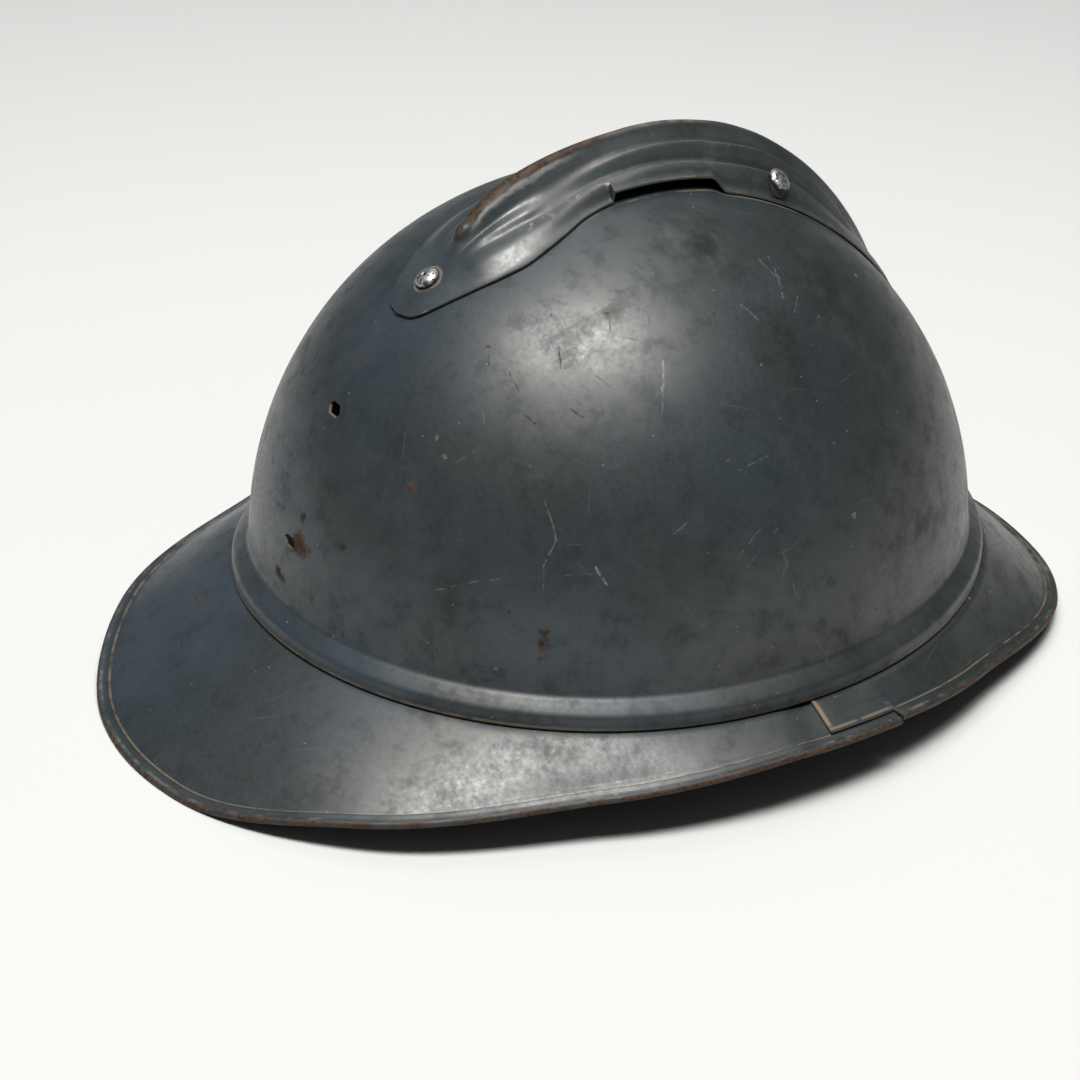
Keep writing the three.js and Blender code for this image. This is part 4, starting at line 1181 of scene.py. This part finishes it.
# Marks by pixels of the photograph. Scratches: start, end, width in millimetres and strength
PALE_SCRATCHES = [
    ((663, 362), (664, 386), 0.42, 1.0),
    ((663, 386), (662, 412), 0.38, 0.8),
    ((757, 258), (775, 276), 0.30, 0.45),
    ((768, 257), (781, 280), 0.28, 0.45),
    ((775, 270), (783, 298), 0.34, 0.55),
    ((740, 304), (760, 321), 0.36, 0.50),
    ((798, 296), (792, 316), 0.28, 0.35),
    ((435, 590), (478, 581), 0.26, 0.40),
    ((490, 580), (545, 576), 0.26, 0.40),
    ((552, 577), (592, 574), 0.30, 0.45),
    ((596, 568), (606, 584), 0.50, 0.75),
    ((544, 500), (553, 524), 0.28, 0.50),
    ((553, 524), (556, 540), 0.32, 0.55),
    ((556, 540), (544, 566), 0.30, 0.55),
    ((544, 566), (543, 590), 0.24, 0.40),
    ((735, 560), (760, 530), 0.26, 0.35),
    ((748, 566), (778, 528), 0.26, 0.40),
    ((770, 560), (795, 545), 0.24, 0.30),
    ((680, 600), (705, 628), 0.26, 0.30),
    ((775, 520), (800, 600), 0.22, 0.30),
    ((739, 470), (768, 455), 0.28, 0.40),
    ((670, 538), (688, 522), 0.26, 0.40),
    ((482, 412), (484, 425), 0.30, 0.35),
    ((453, 465), (476, 450), 0.24, 0.30),
    ((783, 552), (797, 597), 0.24, 0.35),
    ((792, 545), (779, 588), 0.22, 0.30),
    ((611, 470), (626, 459), 0.24, 0.35),
]
DARK_SCRATCHES = [
    ((559, 347), (561, 368), 0.36, 0.6),
    ((591, 372), (611, 388), 0.30, 0.6),
    ((609, 319), (610, 332), 0.36, 0.6),
    ((510, 372), (519, 392), 0.30, 0.5),
    ((488, 318), (489, 368), 0.26, 0.5),
    ((619, 337), (636, 340), 0.34, 0.7),
    ((571, 410), (583, 417), 0.45, 0.5),
    ((526, 416), (536, 424), 0.34, 0.6),
    ((648, 311), (649, 324), 0.28, 0.6),
]
# Round areas by pixels of the photograph: place, radius in millimetres and strength
BOWL_RUST = [
    ((367, 358), 3.4, 0.9),
    ((345, 447), 3.6, 0.7),
    ((363, 484), 3.0, 0.7),
    ((386, 494), 5.0, 0.7),
    ((411, 486), 5.0, 0.75),
    ((372, 500), 4.0, 0.6),
    ((299, 546), 8.0, 1.0),
    ((310, 552), 4.5, 0.8),
    ((303, 517), 3.6, 0.7),
    ((345, 547), 4.0, 0.7),
    ((278, 571), 4.0, 0.9),
    ((283, 580), 3.0, 0.8),
    ((545, 632), 4.2, 0.8),
    ((543, 646), 4.0, 0.7),
    ((541, 658), 4.2, 0.85),
    ((620, 545), 4.0, 0.55),
    ((778, 455), 3.4, 0.6),
    ((868, 482), 3.4, 0.5),
    ((312, 600), 3.0, 0.6),
    ((487, 566), 4.5, 0.5),
    ((575, 412), 3.4, 0.5),
]
BOWL_DARK = [((700, 240), 22, 0.9), ((780, 345), 17, 0.8), ((560, 480), 16, 0.3), ((850, 640), 18, 0.4),
             ((300, 470), 18, 0.3), ((455, 575), 12, 0.5), ((905, 520), 24, 0.6), ((825, 285), 18, 0.5),
             ((612, 318), 5, 0.8), ((605, 352), 3.5, 0.8)]
# Pale warm haze laid where the lamp's highlight falls on the bowl and the visor: partly patina, partly a
# painted highlight
BOWL_HAZE_AND_HIGHLIGHT = [((580, 345), 38, 1.0), ((630, 350), 26, 0.7), ((420, 650), 16, 0.3), ((720, 655), 34, 0.35),
             ((900, 600), 24, 0.3)]
VISOR_HAZE_AND_HIGHLIGHT = [((440, 765), 36, 1.0), ((560, 750), 44, 0.9), ((350, 770), 20, 0.6), ((450, 730), 22, 0.9),
              ((600, 738), 24, 0.8)]
VISOR_RUST = [((197, 598), 3.4, 1.0), ((247, 692), 2.0, 0.9), ((225, 622), 2.0, 0.6)]


def stroke_ends(rows, tree):
    return [(seen_at(start, tree), seen_at(end, tree), wide * MM, strength)
            for start, end, wide, strength in rows]


def bowl_finish(pale_strokes=None, dark_strokes=None):
    f = Enamel("bowl_enamel", 1)
    f.rust = f.rust.most((f.attribute("rust_area") + (f.mottle - 0.5) * 1.6).between(0.38, 0.85))
    dark_area = f.attribute("dark_area") * f.mottle.between(0.3, 0.55)
    f.add(dark_area * 0.8, GRIME_AND_SHADE)
    # Pale haze, partly a painted highlight on the bowl's lit spots
    pale = f.attribute("haze_and_highlight_area") * f.noise(190, 5, 0.76).between(0.32, 0.68)
    f.add(pale * 0.55, HAZE_AND_HIGHLIGHT)
    toward_rear = f.axis("Y").between(-0.03, 0.0)
    by_crest = f.attribute("from_crest").near(0.3, 0.4, 0.5) * f.patches.between(0.38, 0.55) * toward_rear
    f.add(by_crest * 0.8, TAN)
    collar = f.attribute("collar_up")
    ends = f.axis("Y").size().between(0.03, 0.08)
    f.add(collar.near(0.03, 0.05, 0.05) * f.mottle.between(0.36, 0.52) * ends * 0.8, TAN)
    f.add(collar.near(0.0, 0.04, 0.05) * f.mottle.between(0.42, 0.6) * 0.5, RUST)
    # Darker band at the top of the collar, where it meets the dome: grime and painted shade in the crease
    f.add(collar.near(0.93, 0.08, 0.10) * f.patches.between(0.4, 0.62) * 0.5, GRIME_AND_SHADE)
    f.add(f.attribute("inside") * f.patches.between(0.45, 0.65) * 0.6, RUST_DARK)
    dull = dark_area * 0.4
    if pale_strokes:
        slight = f.warped(0.0014, 200)
        strokes = f.strongest(f.stroke(slight, *row) for row in pale_strokes)
        f.add(strokes * f.fine.between(0.34, 0.52), SCRATCH)
        strokes = f.strongest(f.stroke(slight, *row) for row in dark_strokes) * f.fine.between(0.64, 0.46)
        f.add(strokes, GRIME_AND_SHADE)
        dull = dull.most(strokes)
    return f.paint(0.36, extra_rough=pale * 0.08, dull=dull)


def near_strokes(piece, strokes, reach):
    """For each face of a piece, whether a scratch passes within reach of it."""
    centres = read_rows(piece.data.polygons, "center")
    found = np.zeros(len(centres), bool)
    for start, end, _, _ in strokes:
        start, way = np.array(start), np.array(end - start)
        share = np.clip((centres - start) @ way / (way @ way), 0, 1)
        found |= np.linalg.norm(centres - start - share[:, None] * way, axis=1) < reach
    return found.astype(np.int32)


def brim_finish(name, seed, ends_seam):
    """Enamel for a brim plate. The neck guard's front ends show a worn seam."""
    f = Enamel(name, seed)
    rim = f.attribute("from_rim")
    blotch = f.noise(150, 4, 0.65, (seed, 3, 1))
    # Pale haze, partly a painted highlight on the brim's lit spots
    pale = f.attribute("haze_and_highlight_area") * f.noise(330, 5, 0.8, (1, 2, seed)).between(0.30, 0.66)
    f.add(pale * 0.62, HAZE_AND_HIGHLIGHT)
    f.rust = f.rust.most((f.attribute("rust_area") + (f.mottle - 0.5) * 1.4).between(0.4, 0.8))
    hem = 1.0
    if ends_seam:
        turn = f.attribute("round_deg")
        other_end = 360 - LAP_END_DEG
        hem = turn.between(LAP_END_DEG, LAP_END_DEG + 0.4) * turn.between(other_end, other_end - 0.4)
    # Thin dark line on the step where the hem is folded: grime and painted shade
    f.add(rim.near(HEM_WIDTH - 0.35, 0.35, 0.3) * hem * 0.6, GRIME_AND_SHADE)
    f.add(rim.near(HEM_WIDTH + 0.2, 0.2, 0.28) * blotch.between(0.36, 0.56) * hem * 0.75, TAN)
    outer = rim.between(2.0, 0.9)
    f.rust = f.rust.most(outer * f.mottle.between(0.70, 0.42) * hem * 0.9)
    f.add(rim.near(1.9, 0.3, 0.5) * blotch.between(0.50, 0.66) * hem * 0.3, BARE_STEEL_AND_SHEEN)
    if ends_seam:
        for edge in (LAP_START_DEG, 360 - LAP_START_DEG):
            f.add(turn.near(edge, 0.6, 0.5) * blotch.between(0.28, 0.46) * rim.between(1, 3), TAN)
        f.add((1.0 - hem) * rim.near(1.2, 0.5, 0.3) * blotch.between(0.3, 0.5) * 0.7, TAN)
    return f.paint(0.36, extra_rough=pale * 0.10)


def crest_finish():
    f = Enamel("crest_enamel", 4)
    section = f.attribute("section")
    lean = f.attribute("lean_deg")
    blotch = f.noise(150, 4, 0.68, (2, 5, 1))
    ragged = section + (blotch - 0.5) * 0.16
    front = lean.between(BOSS_LEAN_DEG, BOSS_LEAN_DEG + 2.5) * lean.between(4, -8)
    f.rust = f.rust.most(ragged.between(0.22, 0.14) * front * 0.9)
    further = lean.near(2, 14, 6) * ragged.between(0.15, 0.08) * blotch.between(0.42, 0.52)
    f.add(further * 0.7, TAN)
    # Lighter bloom in patches over the crest: partly paint bloom, partly painted light for its brighter
    # upward faces
    f.add(f.patches.between(0.3, 0.7) * 0.35, BLOOM_AND_PAINTED_LIGHT)
    # Pale streak along the ridge's shoulder: worn paint and a painted highlight
    worn_and_sheen = ragged.near(0.255, 0.03, 0.05) * lean.between(-27, -24) * lean.between(-6, -14)
    f.add(worn_and_sheen * blotch.between(0.20, 0.52) * 0.7, BARE_STEEL_AND_SHEEN)
    # Soft tan lines along the tops of the ribs: wear and a painted highlight
    ribs = section.near(0.50, 0.01, 0.045).most(section.near(0.78, 0.01, 0.045))
    f.add(ribs * blotch.between(0.32, 0.52) * lean.between(-16, -4) * 0.32, TAN)
    # Dark lines in the two valleys and by the edge's foot: grime and painted shade in the recesses
    valleys = section.near(0.41, 0.04, 0.05).most(section.near(0.68, 0.03, 0.05))
    valleys = valleys.most(ragged.near(0.93, 0.02, 0.05))
    f.add(valleys * lean.between(-31, -24) * 0.55, GRIME_AND_SHADE)
    chips = section.near(0.75, 0.05, 0.04) * f.noise(420, 3, 0.6, (4, 4, 1)).between(0.56, 0.64)
    f.add(chips * lean.near(-14, 10, 3) * 0.9, TAN)
    f.add(section.near(1.0, 0.02, 0.02) * blotch.between(0.54, 0.64) * 0.5, TAN)
    # Pale haze on the front flange, partly a painted highlight where the overhead lamp catches it
    flange = section.near(0.9, 0.10, 0.08) * lean.near(-25, 8, 3) * f.mottle.between(0.34, 0.55)
    f.add(flange * 0.28, HAZE_AND_HIGHLIGHT)
    wander = f.warped(0.0012, 500)
    from_boss = f.distance_from(wander, on_crest(BOSS_LEAN_DEG, 0, BOSS_RISE))
    f.add(from_boss.between(BOSS_GRIME, BOSS_GRIME * 0.6) * 0.8, GRIME_AND_SHADE)
    f.rust = f.rust.most(from_boss.between(BOSS_RUST, BOSS_RUST * 0.6))
    _, lean_deg, x = RIVETS[0]
    from_rivet = f.distance_from(wander, on_crest(lean_deg, x))
    f.add(from_rivet.near(STAIN_RING, 0.0003, 0.0004) * blotch.between(0.3, 0.5) * 0.8, TAN)
    return f.paint(0.35)


def rivet_finish():
    f = Finish("rivet_alloy")
    radius = f.attribute("radius")
    fine = f.noise(1100, 4, 0.65)
    blotch = f.noise(620, 3, 0.6, (3, 1, 2))
    # Dark: dirt in blotches and round the head's rim, painted shade in the hole at the middle, and painted
    # shadow on the shank and skirt
    dark = blotch.between(0.53, 0.60).most(radius.between(0.90, 1.0) * blotch.between(0.38, 0.48))
    dark = dark.most(radius.between(0.2, 0.12)).most(radius.between(1.0, 1.04))
    colour = f.blend(fine.between(0.35, 0.65), ALLOY_GREY, ALLOY_PALE)
    colour = f.blend(dark, colour, ALLOY_DIRT_AND_SHADOW)
    roughness = fine * 0.3 + 0.25 + dark * 0.25
    return f.finish(colour, roughness, fine * 0.6 - dark * 0.5, ALLOY_GRAIN, 1.0 - dark * 0.85)


def dress():
    bowl, visor = PIECES["bowl"], PIECES["front_visor"]
    for key, rows in (("rust_area", BOWL_RUST), ("dark_area", BOWL_DARK), ("haze_and_highlight_area", BOWL_HAZE_AND_HIGHLIGHT)):
        mark_area(bowl, key, rows)
    mark_area(visor, "haze_and_highlight_area", VISOR_HAZE_AND_HIGHLIGHT)
    mark_area(visor, "rust_area", VISOR_RUST)
    tree = surface_tree(bowl)
    pale_strokes, dark_strokes = stroke_ends(PALE_SCRATCHES, tree), stroke_ends(DARK_SCRATCHES, tree)
    alloy = [rivet_finish()]
    materials = {
        "bowl": [bowl_finish(), bowl_finish(pale_strokes, dark_strokes)],
        "front_visor": [brim_finish("visor_enamel", 2, False)],
        "neck_guard": [brim_finish("guard_enamel", 3, True)],
        "crest": [crest_finish()],
    }
    for node, piece in PIECES.items():
        piece.data.materials.clear()
        for material in materials.get(node, alloy):
            piece.data.materials.append(material)
        piece.data.polygons.foreach_set("material_index", np.zeros(len(piece.data.polygons), np.int32))
    marked = near_strokes(bowl, pale_strokes + dark_strokes, STROKE_REACH)
    bowl.data.polygons.foreach_set("material_index", marked)


dress()


# Light and floor

LIGHT_COLUMNS = ("name", "azimuth", "elevation", "distance", "wide", "tall", "watts", "colour")
LIGHTS = [
    ("overhead", 52, 75.5, 2.00, 1.50, 0.40, 50.5, (1.0, 0.99, 0.965)),
    ("rear_overhead", -130, 66, 2.20, 1.60, 1.20, 10.0, (0.97, 0.985, 1.0)),
]
# A distant softbox in the overhead one's direction, which keeps the far floor light
DISTANT_SIZE_DEG = 16
DISTANT_STRENGTH = 2.45
LIGHT_TARGET = Vector((0.0, -0.01, 0.06))


def link_light(name, kind, energy, colour):
    light = bpy.data.objects.new(name, bpy.data.lights.new(name, kind))
    light.data.energy = energy
    light.data.color = colour
    bpy.context.scene.collection.objects.link(light)
    return light


def add_light(name, azimuth, elevation, distance, wide, tall, watts, colour):
    """A softbox that faces the helmet, from degrees round from the front and above the floor."""
    az, el = math.radians(azimuth), math.radians(elevation)
    way = Vector((math.sin(az) * math.cos(el), -math.cos(az) * math.cos(el), math.sin(el)))
    light = link_light(name, "AREA", watts, colour)
    light.data.shape = "RECTANGLE"
    light.data.size, light.data.size_y = wide, tall
    light.location = LIGHT_TARGET + way * distance
    light.rotation_mode = "QUATERNION"
    light.rotation_quaternion = way.to_track_quat("Z", "Y")


def add_distant(azimuth, elevation, colour):
    light = link_light("distant", "SUN", DISTANT_STRENGTH, colour)
    light.data.angle = math.radians(DISTANT_SIZE_DEG)
    light.rotation_euler = (math.radians(90 - elevation), 0, math.radians(azimuth))


SOFTBOXES = named(LIGHTS, LIGHT_COLUMNS)
for softbox in SOFTBOXES:
    add_light(**softbox)
add_distant(SOFTBOXES[0]["azimuth"], SOFTBOXES[0]["elevation"], SOFTBOXES[0]["colour"])

FLOOR_HALF = 8.0
FLOOR_NEAR = (0.455, 0.46, 0.455)
# Darker floor colour far from the helmet: painted shade for the light's falloff
FLOOR_FAR = (0.300, 0.303, 0.305)
FLOOR_FADE = (0.2, 1.1)
FLOOR_ROUGH = 0.9
FLOOR_SHINE = 0.1


def make_floor():
    """A pale floor whose colour darkens a little away from the helmet, as painted shade for the light's
    falloff.
    """
    mesh = bpy.data.meshes.new("floor")
    corners = [(x * FLOOR_HALF, y * FLOOR_HALF, 0) for x, y in ((-1, -1), (1, -1), (1, 1), (-1, 1))]
    mesh.from_pydata(corners, [], [(0, 1, 2, 3)])
    floor = bpy.data.objects.new("floor", mesh)
    bpy.context.scene.collection.objects.link(floor)
    f = Finish("floor_paper")
    away = f.length(f.place).between(*FLOOR_FADE)
    f.feed(f.surface.inputs["Base Color"], f.blend(away, FLOOR_NEAR, FLOOR_FAR))
    f.surface.inputs["Roughness"].default_value = FLOOR_ROUGH
    f.surface.inputs["Specular IOR Level"].default_value = FLOOR_SHINE
    mesh.materials.append(f.material)


make_floor()

# The room: pale near the horizon, dark overhead. Heights are sines of the angle above the horizon.
ROOM_LOW = (0.26, 0.26, 0.258)
ROOM_HIGH = (0.10, 0.10, 0.10)
ROOM_FADE = (0.02, 0.22)


def make_room():
    world = bpy.data.worlds.new("room")
    bpy.context.scene.world = world
    world.use_nodes = True
    tree = world.node_tree
    place = tree.nodes.new("ShaderNodeTexCoord")
    split = tree.nodes.new("ShaderNodeSeparateXYZ")
    fade = tree.nodes.new("ShaderNodeMapRange")
    tone = tree.nodes.new("ShaderNodeMix")
    fade.interpolation_type = "SMOOTHSTEP"
    fade.inputs["From Min"].default_value, fade.inputs["From Max"].default_value = ROOM_FADE
    tone.data_type = "RGBA"
    tone.inputs[6].default_value = (*ROOM_LOW, 1)
    tone.inputs[7].default_value = (*ROOM_HIGH, 1)
    tree.links.new(place.outputs["Generated"], split.inputs[0])
    tree.links.new(split.outputs["Z"], fade.inputs["Value"])
    tree.links.new(fade.outputs["Result"], tone.inputs[0])
    tree.links.new(tone.outputs[2], tree.nodes["Background"].inputs["Color"])


make_room()
bpy.context.scene.view_settings.view_transform = "Standard"
